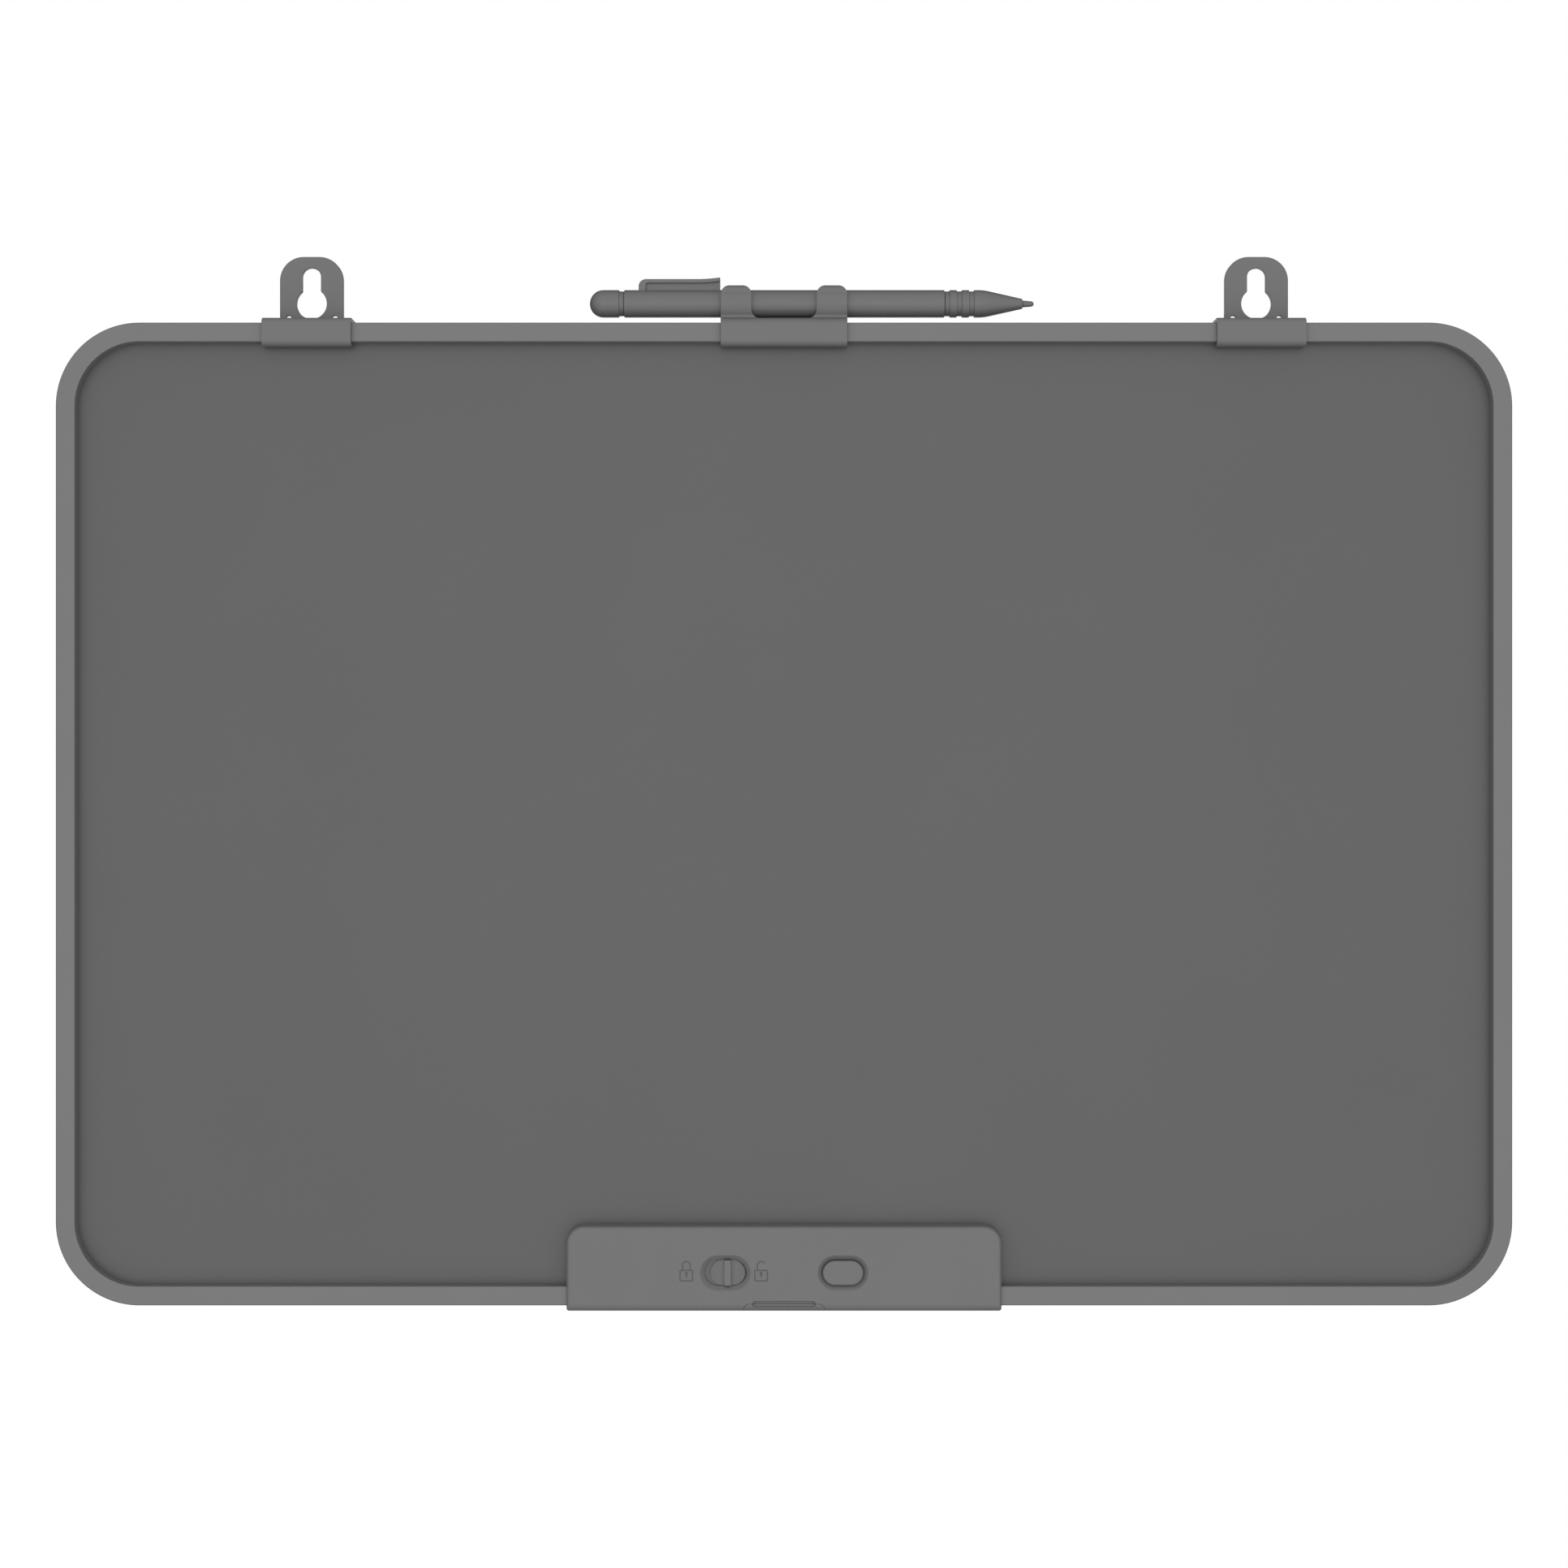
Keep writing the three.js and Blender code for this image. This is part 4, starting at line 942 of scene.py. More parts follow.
LIP_DEPTH = 1.4
LIP_SIDE = 13.35
LIP_TOP_SIDE = 11.1
LIP_GAP = 0.08
PASSAGE_GAP = 0.01
# Where the lip's flank bends: distance from the middle, and height above the bottom
LIP_BEND = (12.65, 0.1)
NAIL_SLOT = (19.9, 2.0)
NAIL_SLOT_DEPTH = 0.9
NAIL_SLOT_ROUND = 0.85
TRAY_BOTTOM = 1.3
TRAY_BACK = -1.7
TRAY_SIDE = 11.0
RAIL_WALL = 1.0
RAIL_FRONT = -6.0
RAIL_LENGTH = 21.8


def housing_box():
    """Lowest and highest corner of the whole housing."""
    return node_box("controller_front_shell")[0], node_box("controller_rear_shell")[1]


def control_height():
    """Height of the slider's and the button's middle."""
    return housing_box()[1].z - CONTROLS_FROM_TOP


def housing_ring(inset, lower_inset, y):
    """The housing's outline at one depth, drawn in all round and differently at the bottom."""
    low, high = housing_box()
    bottom_radius = max(HOUSING_BOTTOM_RADIUS - inset, 0.1)
    outline = rounded(
        low.x + inset, high.x - inset, low.z + lower_inset, high.z - HOUSING_TOP_TRIM - inset, bottom_radius,
        HOUSING_TOP_RADIUS - inset, 16,
    )
    return at_depth(outline, y)


def housing_hull():
    """The outside of the housing with its rounded front and rear edges."""
    low, high = housing_box()
    rings = []
    for angle in around(0, QUARTER, 16):
        depth = HOUSING_LOWER_EDGE * (1 - math.cos(angle))
        insets = (round_inset(HOUSING_EDGE, depth), round_inset(HOUSING_LOWER_EDGE, depth))
        rings.append(housing_ring(*insets, low.y + depth))
    for angle in around(QUARTER, 0, 6):
        depth = HOUSING_REAR_EDGE * (1 - math.cos(angle))
        inset = round_inset(HOUSING_REAR_EDGE, depth)
        rings.append(housing_ring(inset, inset, high.y - depth))
    return skin(rings)


def housing_shell(front, back):
    """The part of the hollow housing between two depths."""
    low, high = housing_box()
    wall = SHELL_WALL
    inside = rounded(
        low.x + wall, high.x - wall, low.z + wall, high.z - HOUSING_TOP_TRIM - wall, HOUSING_BOTTOM_RADIUS,
        HOUSING_TOP_RADIUS - wall, 12,
    )
    half = common(housing_hull(), block(
        low.x - OVERCUT, high.x + OVERCUT, front, back, low.z - OVERCUT, high.z + OVERCUT,
    ))
    return without(half, through(inside, low.y + wall, -wall))


def board_room():
    """Room for the ends of the frame and the edge of the panels, which the housing clamps."""
    board_low, board_high = node_box("frame_bezel")
    high = housing_box()[1]
    far = high.x * 2
    lip_back = node_box("writing_sheet")[0].y - SEAT
    rear = board_high.y + SEAT
    bar_top = board_low.z + BEZEL_FACE + SEAT
    bottom, side = board_low.z - SEAT, CLAMP_SIDE - SEAT
    rooms = []
    for left, right in ((-far, -side), (side, far)):
        rooms.append(block(left, right, board_low.y - SEAT, rear, bottom, bar_top))
        rooms.append(block(left, right, lip_back, rear, bottom, high.z + far))
    rooms.append(block(-far, far, lip_back, rear, high.z - PANEL_OVERLAP - SEAT, high.z + far))
    return rooms


def screw_places():
    """Where the four housing screws sit, in x and z."""
    high = housing_box()[1]
    side = high.x - SCREW_FROM_SIDE
    middle = high.z - SCREW_FROM_TOP
    return [(x, middle + way * SCREW_SPAN_Z / 2) for way in (-1, 1) for x in (-side, side)]


def dish_cutter(x, hole):
    """Cuts a dished recess with sloping walls and an eased rim, and the hole in its floor."""
    front = housing_box()[0].y
    z = control_height()
    length, height = hole
    spread = (DISH_LENGTH - length) / 2
    rise = (DISH_HEIGHT - height) / 2
    slope = math.hypot(spread, DISH_DEPTH)
    reach = DISH_RIM / slope
    rim = bent((1 + DISH_RIM / spread, front), (1, front), (1 - reach, front + DISH_DEPTH * reach), 6)
    floor = front + DISH_DEPTH
    walls = [(rim[0][0], front - OVERCUT), *rim, (0, floor), (0, floor + DISH_FLOOR + DISH_CUT)]
    rings = [
        at_depth(stadium(x, z, length + 2 * spread * share, height + 2 * rise * share, 24), y)
        for share, y in walls
    ]
    return skin(rings)


def lip_outline(grow):
    """The tray's lip from the front: low, with flanks curved like an S."""
    bottom = housing_box()[0].z
    low, high = LIP_SIDE + grow, LIP_TOP_SIDE + grow
    bend, rise = LIP_BEND
    top = bottom + LIP_HEIGHT + grow
    flank = []
    for t in around(0, 1, 20):
        shares = ((1 - t) ** 3, 3 * t * (1 - t) ** 2, 3 * t * t * (1 - t), t**3)
        places = ((low, bottom), (bend + grow, bottom + rise), (bend + grow, top), (high, top))
        flank.append(tuple(sum(s * p[i] for s, p in zip(shares, places)) for i in (0, 1)))
    below = bottom - SHELL_WALL
    return [(-low, below), (low, below), *flank, *[(-x, z) for x, z in flank[::-1]]]


def nail_slot():
    """The shallow slot for a fingernail, half in the shell and half in the tray's lip."""
    low = housing_box()[0]
    length, height = NAIL_SLOT
    sizes = [(0, -OVERCUT)]
    for angle in around(0, QUARTER, 10):
        sizes.append((2 * NAIL_SLOT_ROUND * (1 - math.cos(angle)), NAIL_SLOT_DEPTH * math.sin(angle)))
    rings = [
        at_depth(stadium(0, low.z + LIP_HEIGHT, length - less, height - less, 20), low.y + depth)
        for less, depth in sizes
    ]
    return skin(rings)


def tray_passage():
    """The way through the housing's bottom wall that the tray slides in."""
    low = housing_box()[0]
    side = LIP_SIDE + PASSAGE_GAP
    front = low.y + LIP_DEPTH - SEAT - SLIP
    return block(-side, side, front, TRAY_BACK + SLIP, low.z - SHELL_WALL, low.z + TRAY_BOTTOM + SLIP)


def front_shell_form():
    """The front shell with its dishes, bosses and the tray's opening."""
    low, high = node_box("controller_front_shell")
    shell = housing_shell(low.y - OVERCUT, high.y)
    floor = low.y + DISH_DEPTH + DISH_FLOOR
    z = control_height()
    pockets = [
        through(stadium(x, z, length + COLLAR_ROOM, height + COLLAR_ROOM), floor, low.y + 2 * SHELL_WALL)
        for x, (length, height) in ((SLIDER_X, SLIDER_SLOT), (BUTTON_X, BUTTON_HOLE))
    ]
    boss = SCREW_HOLE + BOSS_WALL
    bosses = [peg(*place, boss, low.y + SHELL_WALL / 2, high.y, 32) for place in screw_places()]
    pilots = [peg(*place, SCREW_HOLE, PILOT_FRONT, high.y + OVERCUT, 32) for place in screw_places()]
    dishes = [dish_cutter(SLIDER_X, SLIDER_SLOT), dish_cutter(BUTTON_X, BUTTON_HOLE)]
    lip = through(lip_outline(LIP_GAP), low.y - OVERCUT, low.y + LIP_DEPTH + SLIP)
    return without(
        joined(shell, *bosses), *pockets, *board_room(), *dishes, lip, tray_passage(), nail_slot(), *pilots,
    )


def rear_shell_form():
    """The rear shell with its counterbores and the rails that the tray slides between."""
    low, high = node_box("controller_rear_shell")
    inner, outer = TRAY_SIDE + SLIP, TRAY_SIDE + SLIP + RAIL_WALL
    shell = housing_shell(low.y, high.y + OVERCUT)
    bosses = [peg(*place, COUNTERBORE + BORE_WALL, low.y, -SHELL_WALL / 2, 32) for place in screw_places()]
    bores = [peg(*place, COUNTERBORE, -SCREW_SUNK - SEAT, OVERCUT, 48) for place in screw_places()]
    holes = [peg(*place, SCREW_HOLE, low.y - OVERCUT, 0, 32) for place in screw_places()]
    rails = [
        block(left, right, RAIL_FRONT, -SHELL_WALL / 2, low.z + SHELL_WALL, low.z + RAIL_LENGTH)
        for left, right in ((-outer, -inner), (inner, outer))
    ]
    return without(joined(shell, *bosses, *rails), *board_room(), tray_passage(), *bores, *holes)


class BOARD_OT_housing(bpy.types.Operator):
    """Makes the two shells of the housing on the board's lower edge"""

    bl_idname = "board.housing"
    bl_label = "Housing"

    def execute(self, context):
        for name, node, form in (
            ("housing_front", "controller_front_shell", front_shell_form),
            ("housing_rear", "controller_rear_shell", rear_shell_form),
        ):
            finished(name, tidied(form()), *CASE, "board", node)
        return {"FINISHED"}


POCKET_RADIUS = 10.1
THUMB_RADIUS = 5.0
TRAY_LOW_ROUND = 0.1
TRAY_HIGH_ROUND = 2.0
TRAY_EASE = 0.06
NOTCH_HALF = 2.45
NOTCH_ABOVE = 5.0


def tray_form():
    """The battery tray: a lip and floor in the housing's wall, and a frame round the cell."""
    low, high = node_box("battery_tray")
    cell_low, cell_high = node_box("coin_cell")
    z = (cell_low.z + cell_high.z) / 2
    lip = through(lip_outline(0), low.y - OVERCUT, low.y + LIP_DEPTH)
    floor = block(
        -LIP_SIDE, LIP_SIDE, low.y + LIP_DEPTH - SEAT, TRAY_BACK, low.z - SHELL_WALL, low.z + TRAY_BOTTOM,
    )
    closing = common(joined(lip, floor), housing_hull())
    front = cell_low.y - SEAT
    outline = rounded(
        -TRAY_SIDE, TRAY_SIDE, low.z + TRAY_BOTTOM - SEAT, high.z, TRAY_LOW_ROUND, TRAY_HIGH_ROUND, 12,
    )
    rim = through(outline, front, TRAY_BACK)
    ahead, behind = front - OVERCUT, TRAY_BACK + OVERCUT
    pocket = peg(0, z, POCKET_RADIUS, ahead, cell_high.y + SEAT, 120)
    thumb = peg(0, z, THUMB_RADIUS, cell_high.y - OVERCUT, behind)
    notch = block(-NOTCH_HALF, NOTCH_HALF, ahead, behind, z + NOTCH_ABOVE, high.z + OVERCUT)
    return without(joined(closing, rim), pocket, thumb, notch, nail_slot())


class BOARD_OT_tray(bpy.types.Operator):
    """Makes the battery tray"""

    bl_idname = "board.tray"
    bl_label = "Battery tray"

    def execute(self, context):
        mesh = softened(tidied(tray_form()), TRAY_EASE)
        finished("battery_drawer", mesh, *CASE, "tray", "battery_tray")
        return {"FINISHED"}


# Screws, repeated by a tree of geometry nodes


def screw_tree():
    """A node tree that sets one screw on each corner of a rectangle, each turned by chance."""
    tree = bpy.data.node_groups.new("screws_on_corners", "GeometryNodeTree")
    interface = tree.interface
    for name, kind, value in (
        ("Span X", "NodeSocketFloat", 0.114), ("Span Z", "NodeSocketFloat", 0.0114),
        ("Middle", "NodeSocketVector", (0, 0, 0)), ("Head Radius", "NodeSocketFloat", 0.0019),
        ("Head Height", "NodeSocketFloat", 0.0013), ("Shank Radius", "NodeSocketFloat", 0.001),
        ("Shank Length", "NodeSocketFloat", 0.007), ("Cross Length", "NodeSocketFloat", 0.0021),
        ("Cross Width", "NodeSocketFloat", 0.0005), ("Cross Depth", "NodeSocketFloat", 0.0007),
        ("Pitch", "NodeSocketFloat", 0.0007), ("Seed", "NodeSocketInt", 0),
        ("Finish", "NodeSocketMaterial", None),
    ):
        socket = interface.new_socket(name=name, in_out="INPUT", socket_type=kind)
        if value is not None:
            socket.default_value = value
    interface.new_socket(name="Screws", in_out="OUTPUT", socket_type="NodeSocketGeometry")
    sizes = {socket.name: socket for socket in add_node(tree, "NodeGroupInput").outputs}

    # Sums on the sizes, each from the sizes and sums above it
    for name, operation, first, second in (
        ("wall", "MULTIPLY", "Head Height", 0.72),
        ("slope", "SUBTRACT", "Head Height", "wall"),
        ("slope radius", "MULTIPLY", "Head Radius", 0.84),
        ("slope place", "MULTIPLY", "slope", -1.0),
        ("half wall", "MULTIPLY", "wall", -0.5),
        ("wall place", "SUBTRACT", "half wall", "slope"),
        ("core radius", "MULTIPLY", "Shank Radius", 0.8),
        ("half core", "MULTIPLY", "Shank Length", -0.5),
        ("core place", "SUBTRACT", "half core", "wall"),
        ("cross height", "MULTIPLY", "Cross Depth", 2.0),
        ("half ring", "MULTIPLY", "Pitch", 0.45),
        ("ring place", "MULTIPLY", "half ring", -1.0),
        ("turns", "DIVIDE", "Shank Length", "Pitch"),
        ("whole turns", "FLOOR", "turns", 0.0),
        ("rings", "SUBTRACT", "whole turns", 1.0),
        ("under head", "MULTIPLY", "Head Height", -1.0),
        ("first place", "SUBTRACT", "under head", "Pitch"),
        ("next place", "MULTIPLY", "Pitch", -1.0),
    ):
        terms = {0: sizes.get(first, first), 1: sizes.get(second, second)}
        sizes[name] = add_node(tree, "ShaderNodeMath", {"operation": operation}, terms).outputs[0]
    places = {
        name: add_node(tree, "ShaderNodeCombineXYZ", None, {"Z": sizes[name]}).outputs[0]
        for name in sizes if name.endswith("place")
    }

    # The head lies below zero and the core goes down from it; the rim of the head is sloped
    body = add_node(tree, "GeometryNodeMeshBoolean", {"operation": "UNION", "solver": "EXACT"})
    for kind, name, shape in (
        ("Cylinder", "wall", {"Vertices": 48, "Radius": "Head Radius", "Depth": "wall"}),
        (
            "Cone", "slope",
            {"Vertices": 48, "Radius Top": "slope radius", "Radius Bottom": "Head Radius", "Depth": "slope"},
        ),
        ("Cylinder", "core", {"Vertices": 32, "Radius": "core radius", "Depth": "Shank Length"}),
    ):
        given = {key: sizes.get(value, value) for key, value in shape.items()}
        mesh = add_node(tree, f"GeometryNodeMesh{kind}", None, given).outputs["Mesh"]
        moved = {"Geometry": mesh, "Translation": places[f"{name} place"]}
        part = add_node(tree, "GeometryNodeTransform", None, moved).outputs["Geometry"]
        tree.links.new(part, body.inputs["Mesh 2"])

    crossed = body.outputs["Mesh"]
    for wide, deep in (("Cross Length", "Cross Width"), ("Cross Width", "Cross Length")):
        size = add_node(
            tree, "ShaderNodeCombineXYZ", None,
            {"X": sizes[wide], "Y": sizes[deep], "Z": sizes["cross height"]},
        )
        bar = add_node(tree, "GeometryNodeMeshCube", None, {"Size": size.outputs["Vector"]})
        crossed = add_node(
            tree, "GeometryNodeMeshBoolean", {"operation": "DIFFERENCE", "solver": "EXACT"},
            {"Mesh 1": crossed, "Mesh 2": bar.outputs["Mesh"]},
        ).outputs["Mesh"]

    # The thread is a row of rings with sharp crests
    ring = add_node(tree, "GeometryNodeJoinGeometry")
    for wide_end, thin_end, where in (
        ("Radius Bottom", "Radius Top", (0.0, 0.0, 0.0)),
        ("Radius Top", "Radius Bottom", places["ring place"]),
    ):
        half = add_node(
            tree, "GeometryNodeMeshCone", None,
            {
                "Vertices": 32, wide_end: sizes["Shank Radius"], thin_end: sizes["core radius"],
                "Depth": sizes["half ring"],
            },
        ).outputs["Mesh"]
        part = add_node(tree, "GeometryNodeTransform", None, {"Geometry": half, "Translation": where})
        tree.links.new(part.outputs["Geometry"], ring.inputs["Geometry"])
    row = add_node(
        tree, "GeometryNodeMeshLine", {"mode": "OFFSET"},
        {"Count": sizes["rings"], "Start Location": places["first place"], "Offset": places["next place"]},
    ).outputs["Mesh"]
    thread = add_node(
        tree, "GeometryNodeInstanceOnPoints", None, {"Points": row, "Instance": ring.outputs["Geometry"]},
    ).outputs["Instances"]
    thread = add_node(tree, "GeometryNodeRealizeInstances", None, {"Geometry": thread}).outputs["Geometry"]
    screw = add_node(tree, "GeometryNodeJoinGeometry")
    for part in (crossed, thread):
        tree.links.new(part, screw.inputs["Geometry"])

    grid = add_node(
        tree, "GeometryNodeMeshGrid", None,
        {"Size X": sizes["Span X"], "Size Y": sizes["Span Z"], "Vertices X": 2, "Vertices Y": 2},
    ).outputs["Mesh"]
    corners = add_node(
        tree, "GeometryNodeTransform", None,
        {"Geometry": grid, "Translation": sizes["Middle"], "Rotation": (QUARTER, 0.0, 0.0)},
    ).outputs["Geometry"]
    chance = add_node(
        tree, "FunctionNodeRandomValue", {"data_type": "FLOAT"},
        {2: 0.0, 3: 4 * QUARTER, "Seed": sizes["Seed"]},
    ).outputs[1]
    turn = add_node(tree, "ShaderNodeCombineXYZ", None, {"Z": chance}).outputs["Vector"]
    facing = add_node(
        tree, "GeometryNodeInstanceOnPoints", None,
        {"Points": corners, "Instance": screw.outputs["Geometry"], "Rotation": (-QUARTER, 0.0, 0.0)},
    ).outputs["Instances"]
    spun = add_node(
        tree, "GeometryNodeRotateInstances", None, {"Instances": facing, "Rotation": turn},
    ).outputs["Instances"]
    real = add_node(tree, "GeometryNodeRealizeInstances", None, {"Geometry": spun}).outputs["Geometry"]
    dressed = add_node(
        tree, "GeometryNodeSetMaterial", None, {"Geometry": real, "Material": sizes["Finish"]},
    ).outputs["Geometry"]
    add_node(tree, "NodeGroupOutput", None, {"Screws": dressed})
    return tree


class BOARD_OT_screws(bpy.types.Operator):
    """Makes the four housing screws from one node tree"""

    bl_idname = "board.screws"
    bl_label = "Housing screws"

    def execute(self, context):
        sizes = context.scene.board_sizes
        top = node_box("controller_screw_4")[1].y
        places = screw_places()
        xs, zs = [x for x, z in places], [z for x, z in places]
        values = {
            "Span X": (max(xs) - min(xs)) * METRE, "Span Z": (max(zs) - min(zs)) * METRE,
            "Middle": (0, top * METRE, (max(zs) + min(zs)) / 2 * METRE),
            "Pitch": sizes.thread_pitch, "Seed": sizes.turn_seed, "Finish": bpy.data.materials["zinc_plate"],
        }
        tree = screw_tree()
        maker = bpy.data.objects.new("maker", bpy.data.meshes.new("maker"))
        context.scene.collection.objects.link(maker)
        modifier = maker.modifiers.new("screws", "NODES")
        modifier.node_group = tree
        for socket in tree.interface.items_tree:
            if socket.name in values:
                modifier[socket.identifier] = values[socket.name]
        graph = context.evaluated_depsgraph_get()
        mesh = bpy.data.meshes.new_from_object(maker.evaluated_get(graph))
        maker.modifiers.remove(modifier)
        bpy.data.objects.remove(maker)
        if not mesh.polygons:
            raise RuntimeError("the screws' tree made no faces")
        finished(
            "housing_screws", mesh, "zinc_plate", "steel", "board",
            *[f"controller_screw_{k}" for k in (1, 2, 3, 4)], unit=1,
        )
        return {"FINISHED"}


# Controls

KNOB_LENGTH = 10.9
KNOB_HEIGHT = 8.0
KNOB_RIDGE = 2.1
KNOB_EDGE = 0.25
SCOOP_DEPTH = 1.35
SCOOP_SHIFT = 0.6
SCOOP_REACH = 9.0
SCOOP_EASE = 0.1
COLLAR_GAP = 0.35
CAP_ROUND = 0.6
CAP_GAP = 0.2


def eased_stadium(x, z, length, height, radius, front, back):
    """A stadium through the depth with a rounded front edge."""
    rings = []
    for angle in around(0, QUARTER, 8):
        depth = radius * (1 - math.cos(angle))
        inset = 2 * round_inset(radius, depth)
        rings.append(at_depth(stadium(x, z, length - inset, height - inset, 24), front + depth))
    rings.append(at_depth(stadium(x, z, length, height, 24), back))
    return skin(rings)


def collar_form(node):
    """The flange behind the housing's wall that keeps a control from falling out."""
    low, high = node_box(node)
    outline = stadium((low.x + high.x) / 2, control_height(), high.x - low.x, high.z - low.z, 24)
    front = housing_box()[0].y + DISH_DEPTH + DISH_FLOOR + COLLAR_GAP
    return through(outline, front, high.y)


class BOARD_OT_slider(bpy.types.Operator):
    """Makes the lock slider's knob with a ridge between two scoops"""

    bl_idname = "board.slider"
    bl_label = "Lock slider"

    def execute(self, context):
        radius = size_of(context, "scoop")
        low, high = node_box("lock_slider_knob")
        x, z = (low.x + high.x) / 2, control_height()
        knob = eased_stadium(x, z, KNOB_LENGTH, KNOB_HEIGHT, KNOB_EDGE, low.y, high.y)
        scoops = []
        for way in (-1, 1):
            wall = x + way * KNOB_RIDGE / 2
            middle = wall + way * SCOOP_SHIFT
            roll = arc(middle, low.y + SCOOP_DEPTH - radius, radius, 0, 4, 240)[:-1]
            kept = [(max(px, wall) if way > 0 else min(px, wall), py) for px, py in roll]
            ends = (z - SCOOP_REACH, z + SCOOP_REACH)
            scoops.append(skin([[(px, py, height) for px, py in kept] for height in ends]))
        knob = softened(tidied(without(knob, *scoops)), SCOOP_EASE, segments=3, angle=40)
        whole = joined(knob, collar_form("lock_slider_knob"))
        finished("lock_knob", whole, *CASE, "lock_slider", "lock_slider_knob")
        return {"FINISHED"}


class BOARD_OT_button(bpy.types.Operator):
    """Makes the erase button"""

    bl_idname = "board.button"
    bl_label = "Erase button"

    def execute(self, context):
        low, high = node_box("erase_button_cap")
        length, height = (size - CAP_GAP for size in BUTTON_HOLE)
        cap = eased_stadium((low.x + high.x) / 2, control_height(), length, height, CAP_ROUND, low.y, high.y)
        whole = joined(cap, collar_form("erase_button_cap"))
        finished("erase_key", whole, *CASE, "erase_button", "erase_button_cap")
        return {"FINISHED"}


# Padlock signs beside the slider

# Left, right, bottom and top of the closed padlock's body
SIGN_BODY = (-32.68, -28.41, -315.98, -312.35)
SIGN_BODY_ROUND = 0.22
SHACKLE_SIDE = 1.37
SHACKLE_TOP = -309.57
OPEN_SHIFT = 23.38
OPEN_END = 0.35
SIGN_EYE = -313.5
EYE_RADIUS = 0.3
STEM = 0.8
SIGN_RISE = 0.05


def ribbon(points, width, front, back, closed):
    """A raised line of even width along points in x and z."""
    shape = bmesh.new()
    count = len(points)
    rows = []
    for i, (x, z) in enumerate(points):
        before = points[i - 1] if closed or i else points[i]
        after = points[(i + 1) % count] if closed or i < count - 1 else points[i]
        ahead = Vector((after[0] - before[0], after[1] - before[1])).normalized()
        side = Vector((-ahead.y, ahead.x)) * width / 2
        rim = ((1, front), (1, back), (-1, back), (-1, front))
        rows.append([shape.verts.new((x + way * side.x, y, z + way * side.y)) for way, y in rim])
    pairs = list(zip(rows, rows[1:])) + ([(rows[-1], rows[0])] if closed else [])
    for here, there in pairs:
        for k in range(4):
            shape.faces.new((here[k], here[(k + 1) % 4], there[(k + 1) % 4], there[k]))
    if not closed:
        shape.faces.new(rows[0])
        shape.faces.new(rows[-1][::-1])
    bmesh.ops.recalc_face_normals(shape, faces=shape.faces)
    return shape


def bunch(*shapes):
    """Several bmeshes as one mesh."""
    whole = bmesh.new()
    for shape in shapes:
        whole.from_mesh(mesh_of(shape))
    return mesh_of(whole)


def padlock(shift, is_open, line, front):
    """A generic padlock sign: body, shackle and keyhole, drawn with thin raised lines."""
    left, right, bottom, top = SIGN_BODY
    middle = (left + right) / 2 + shift
    half = line / 2
    back = front + 2 * SIGN_RISE
    inside = rounded(
        left + half + shift, right - half + shift, bottom + half, top - half,
        SIGN_BODY_ROUND, SIGN_BODY_ROUND, 6,
    )
    side = SHACKLE_SIDE - half
    crown = SHACKLE_TOP - SHACKLE_SIDE
    left_foot, right_foot = (middle - side, top + SIGN_RISE), (middle + side, top + SIGN_RISE)
    if is_open:
        # The open shackle stands on its left leg and ends in the air on its right
        shackle = [*arc(middle, crown, side, OPEN_END, 2, 24), left_foot]
    else:
        shackle = [right_foot, *arc(middle, crown, side, 0, 2, 24), left_foot]
    glyph = arc(middle, SIGN_EYE, EYE_RADIUS, 0, 4, 20)[:-1]
    start = SIGN_EYE - EYE_RADIUS - half - SIGN_RISE
    stem = [(middle, start), (middle, start - STEM)]
    return [
        ribbon(inside, line, front, back, True), ribbon(shackle, line, front, back, False),
        ribbon(glyph, line, front, back, True), ribbon(stem, line, front, back, False),
    ]


class BOARD_OT_signs(bpy.types.Operator):
    """Draws a closed and an open padlock at the two ends of the slider"""

    bl_idname = "board.signs"
    bl_label = "Padlock signs"

    def execute(self, context):
        line = size_of(context, "sign_line")
        front = housing_box()[0].y - SIGN_RISE
        shapes = [*padlock(0, False, line, front), *padlock(OPEN_SHIFT, True, line, front)]
        finished("padlock_signs", bunch(*shapes), "printed_ink", "black_plastic", "board", crease=60)
        return {"FINISHED"}


# Kept CAD pieces

INNER_PIECES = {
    "lock_switch_body": "nickel_plate",
    "lock_switch_lever": "black_thermoplastic",
    "erase_switch_body": "black_thermoplastic",
    "erase_switch_plunger": "black_thermoplastic",
    "control_board": "circuit_laminate",
    "driver_chip": "black_thermoplastic",
    "lcd_connector_strip": "polyimide_film",
    "coin_cell": "nickel_plate",
    "battery_contact_negative": "nickel_plate",
    "battery_contact_positive": "nickel_plate",
}


class BOARD_OT_works(bpy.types.Operator):
    """Gives the works inside the housing their finishes"""

    bl_idname = "board.works"
    bl_label = "Works"

    def execute(self, context):
        for node, material in INNER_PIECES.items():
            mesh = frame["nodes"][node].data
            mesh.materials.clear()
            mesh.materials.append(bpy.data.materials[material])
        return {"FINISHED"}


# Stage, in metres

FLOOR_PLACE = (0, -0.3, -2.4)
FLOOR_HALF = 0.9
SKY_FRONT = (0.0, -0.985, 0.174)
SKY_SPAN = (-0.55, 1.0)
SKY_GLOW = (0.0, 1.3)
LAMP_SIZE = 1.2
LAMP_HEIGHT = -0.16
CAMERA_PLACE = (0, -0.9671, -0.1604)
CAMERA_LENS = 70
CAMERA_SENSOR = 36
CAMERA_NEAR = 0.01


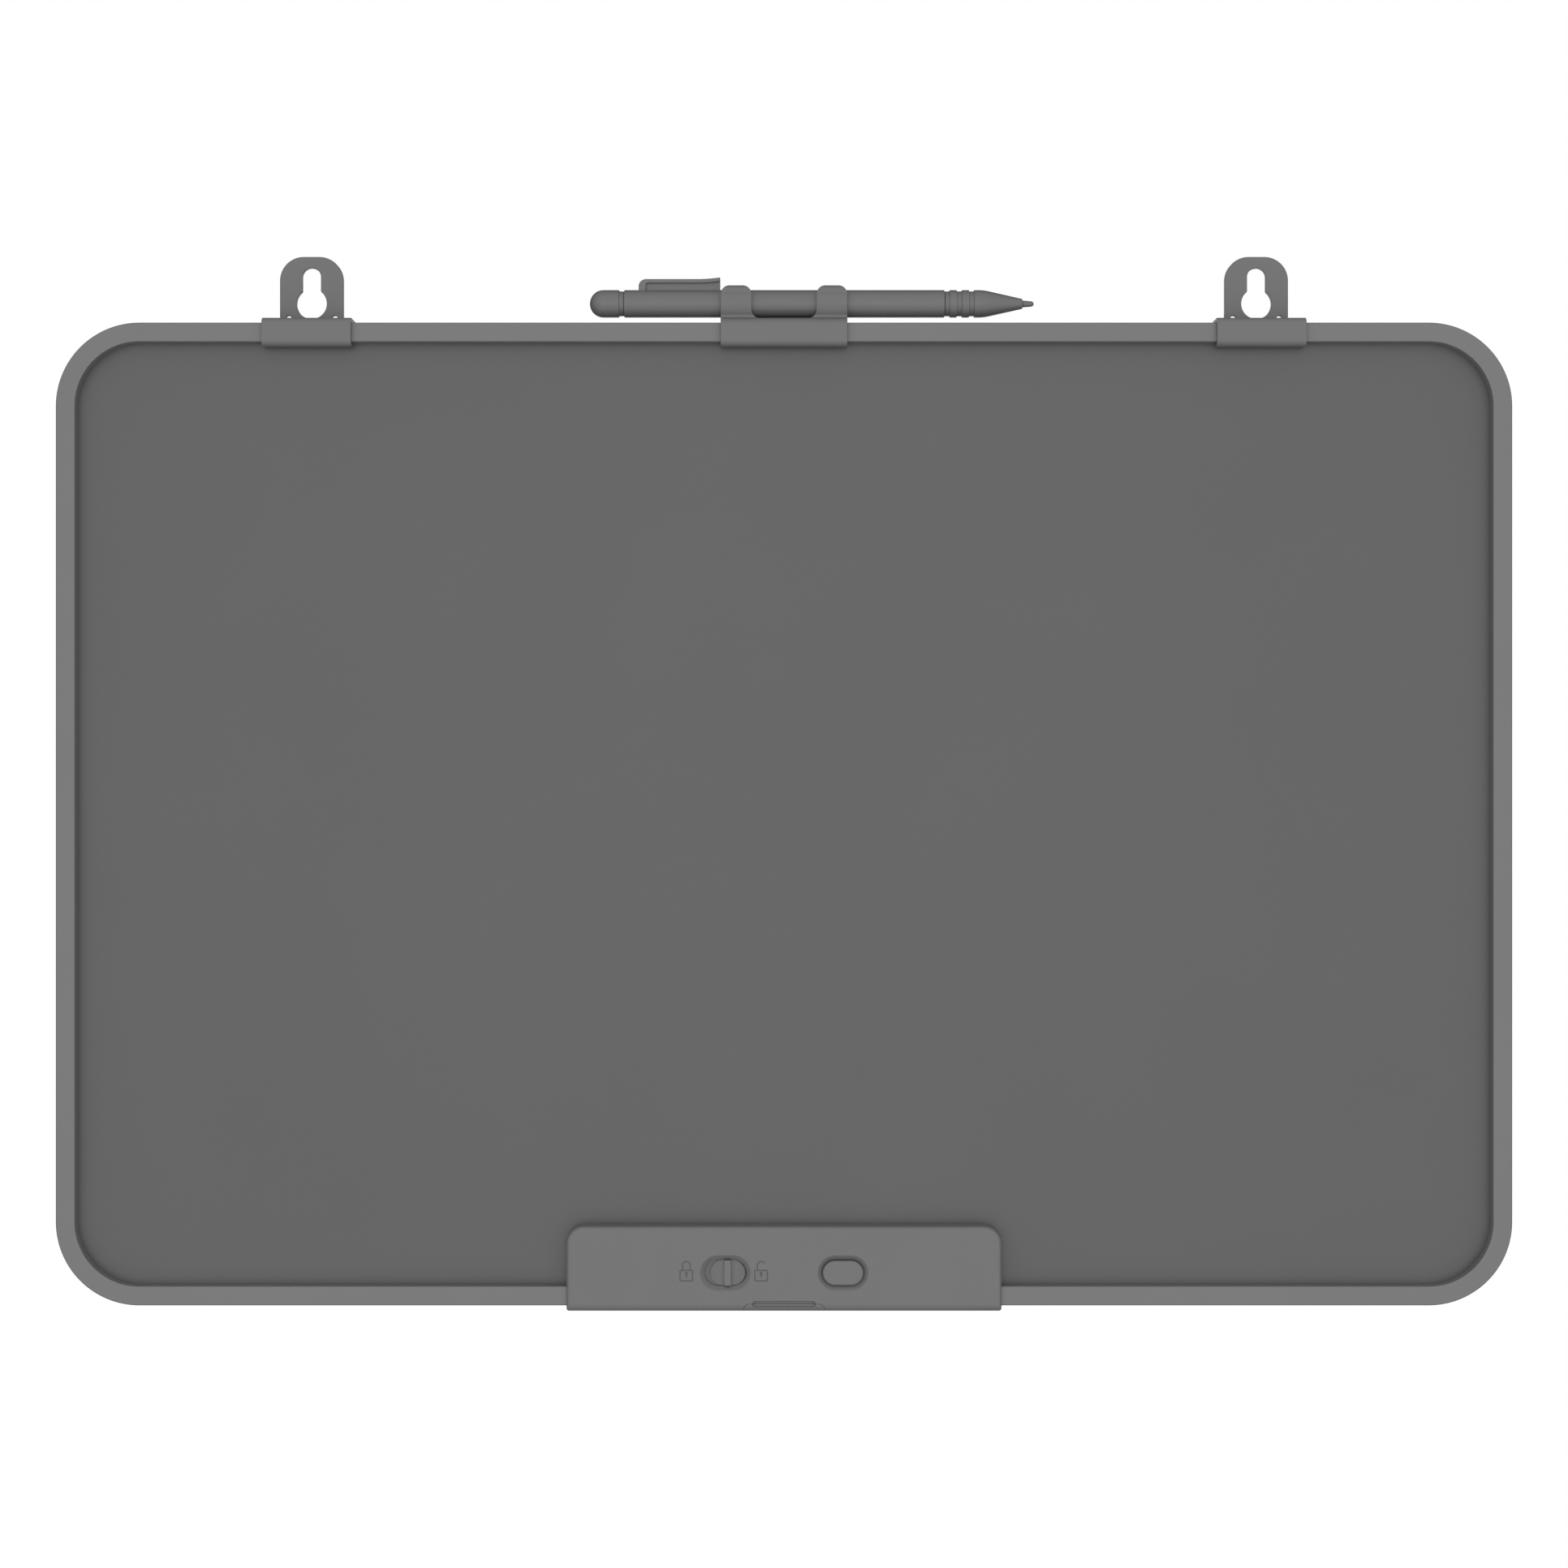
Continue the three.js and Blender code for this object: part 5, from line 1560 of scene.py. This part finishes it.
class BOARD_OT_stage(bpy.types.Operator):
    """Makes the pale floor, the soft lights and the camera"""

    bl_idname = "board.stage"
    bl_label = "Stage"

    def execute(self, context):
        floor = bpy.data.objects.new("floor", bpy.data.meshes.new("floor"))
        shape = bmesh.new()
        bmesh.ops.create_grid(shape, x_segments=2, y_segments=2, size=FLOOR_HALF)
        bmesh.ops.translate(shape, verts=shape.verts, vec=FLOOR_PLACE)
        shape.to_mesh(floor.data)
        shape.free()
        context.scene.collection.objects.link(floor)
        shader = new_material("pale_floor")[1]
        shader.inputs["Base Color"].default_value = linear("f4f4f2")
        shader.inputs["Roughness"].default_value = 0.8
        floor.data.materials.append(bpy.data.materials["pale_floor"])

        world = bpy.data.worlds.new("soft_white")
        context.scene.world = world
        world.use_nodes = True
        tree = world.node_tree
        tree.nodes.clear()
        heading = add_node(tree, "ShaderNodeTexCoord").outputs["Generated"]
        # The sky is brightest in front of the board and fades towards the wall; seen directly it is white
        facing = add_node(
            tree, "ShaderNodeVectorMath", {"operation": "DOT_PRODUCT"}, {0: heading, 1: SKY_FRONT},
        )
        ends = zip(("From Min", "From Max", "To Min", "To Max"), (*SKY_SPAN, *SKY_GLOW))
        glow = add_node(
            tree, "ShaderNodeMapRange", {"clamp": True}, {"Value": facing.outputs["Value"], **dict(ends)},
        )
        seen = add_node(tree, "ShaderNodeLightPath").outputs["Is Camera Ray"]
        strength = add_node(
            tree, "ShaderNodeMix", {"data_type": "FLOAT"}, {0: seen, 2: glow.outputs["Result"], 3: 1.0},
        )
        sky = add_node(
            tree, "ShaderNodeBackground", None,
            {"Color": (1.0, 1.0, 1.0, 1.0), "Strength": strength.outputs[0]},
        )
        add_node(tree, "ShaderNodeOutputWorld", None, {"Surface": sky.outputs["Background"]})
        context.scene.view_settings.view_transform = "Standard"
        context.scene.view_settings.look = "None"

        # A weak wide lamp in front, and one behind so that the rear isn't left dark
        for name, power, y in (("soft_front", 1.5, -1.7), ("soft_rear", 8.0, 1.7)):
            lamp = bpy.data.lights.new(name, "AREA")
            lamp.size = LAMP_SIZE
            lamp.energy = power
            light = bpy.data.objects.new(name, lamp)
            light.location = (0, y, LAMP_HEIGHT)
            light.rotation_euler = (-math.copysign(QUARTER, y), 0, 0)
            light.visible_camera = False
            context.scene.collection.objects.link(light)

        lens = bpy.data.cameras.new("camera")
        lens.lens = CAMERA_LENS
        lens.sensor_width = CAMERA_SENSOR
        lens.clip_start = CAMERA_NEAR
        camera = bpy.data.objects.new("camera", lens)
        camera.location = CAMERA_PLACE
        camera.rotation_euler = (QUARTER, 0, 0)
        context.scene.collection.objects.link(camera)
        context.scene.camera = camera
        return {"FINISHED"}


STEPS = (
    BOARD_OT_frame, BOARD_OT_sheets, BOARD_OT_hooks, BOARD_OT_holder, BOARD_OT_pen, BOARD_OT_housing,
    BOARD_OT_tray, BOARD_OT_screws, BOARD_OT_slider, BOARD_OT_button, BOARD_OT_signs, BOARD_OT_works,
    BOARD_OT_stage,
)


class BOARD_PT_making(bpy.types.Panel):
    """The board's sizes, colours and making steps"""

    bl_idname = "BOARD_PT_making"
    bl_label = "Writing board"
    bl_space_type = "VIEW_3D"
    bl_region_type = "UI"
    bl_category = "Writing board"

    def draw(self, context):
        for group in (context.scene.board_sizes, context.scene.board_colours):
            box = self.layout.box()
            for name in group.bl_rna.properties.keys():
                if name not in ("rna_type", "name"):
                    box.prop(group, name)
        for step in STEPS:
            self.layout.operator(step.bl_idname)


CLASSES = (BoardColours, BoardSizes, *STEPS, BOARD_PT_making)


def register():
    """Registers the classes and hangs the two groups on the scene."""
    for kind in CLASSES:
        bpy.utils.register_class(kind)
    bpy.types.Scene.board_colours = bpy.props.PointerProperty(type=BoardColours)
    bpy.types.Scene.board_sizes = bpy.props.PointerProperty(type=BoardSizes)


def unregister():
    """Takes the groups and the classes away again."""
    del bpy.types.Scene.board_sizes
    del bpy.types.Scene.board_colours
    for kind in reversed(CLASSES):
        bpy.utils.unregister_class(kind)


def main():
    """Makes the whole board."""
    register()
    make_finishes(bpy.context.scene.board_colours)
    for step in STEPS:
        getattr(bpy.ops.board, step.bl_idname.split(".")[1])()


if __name__ == "__main__":
    main()
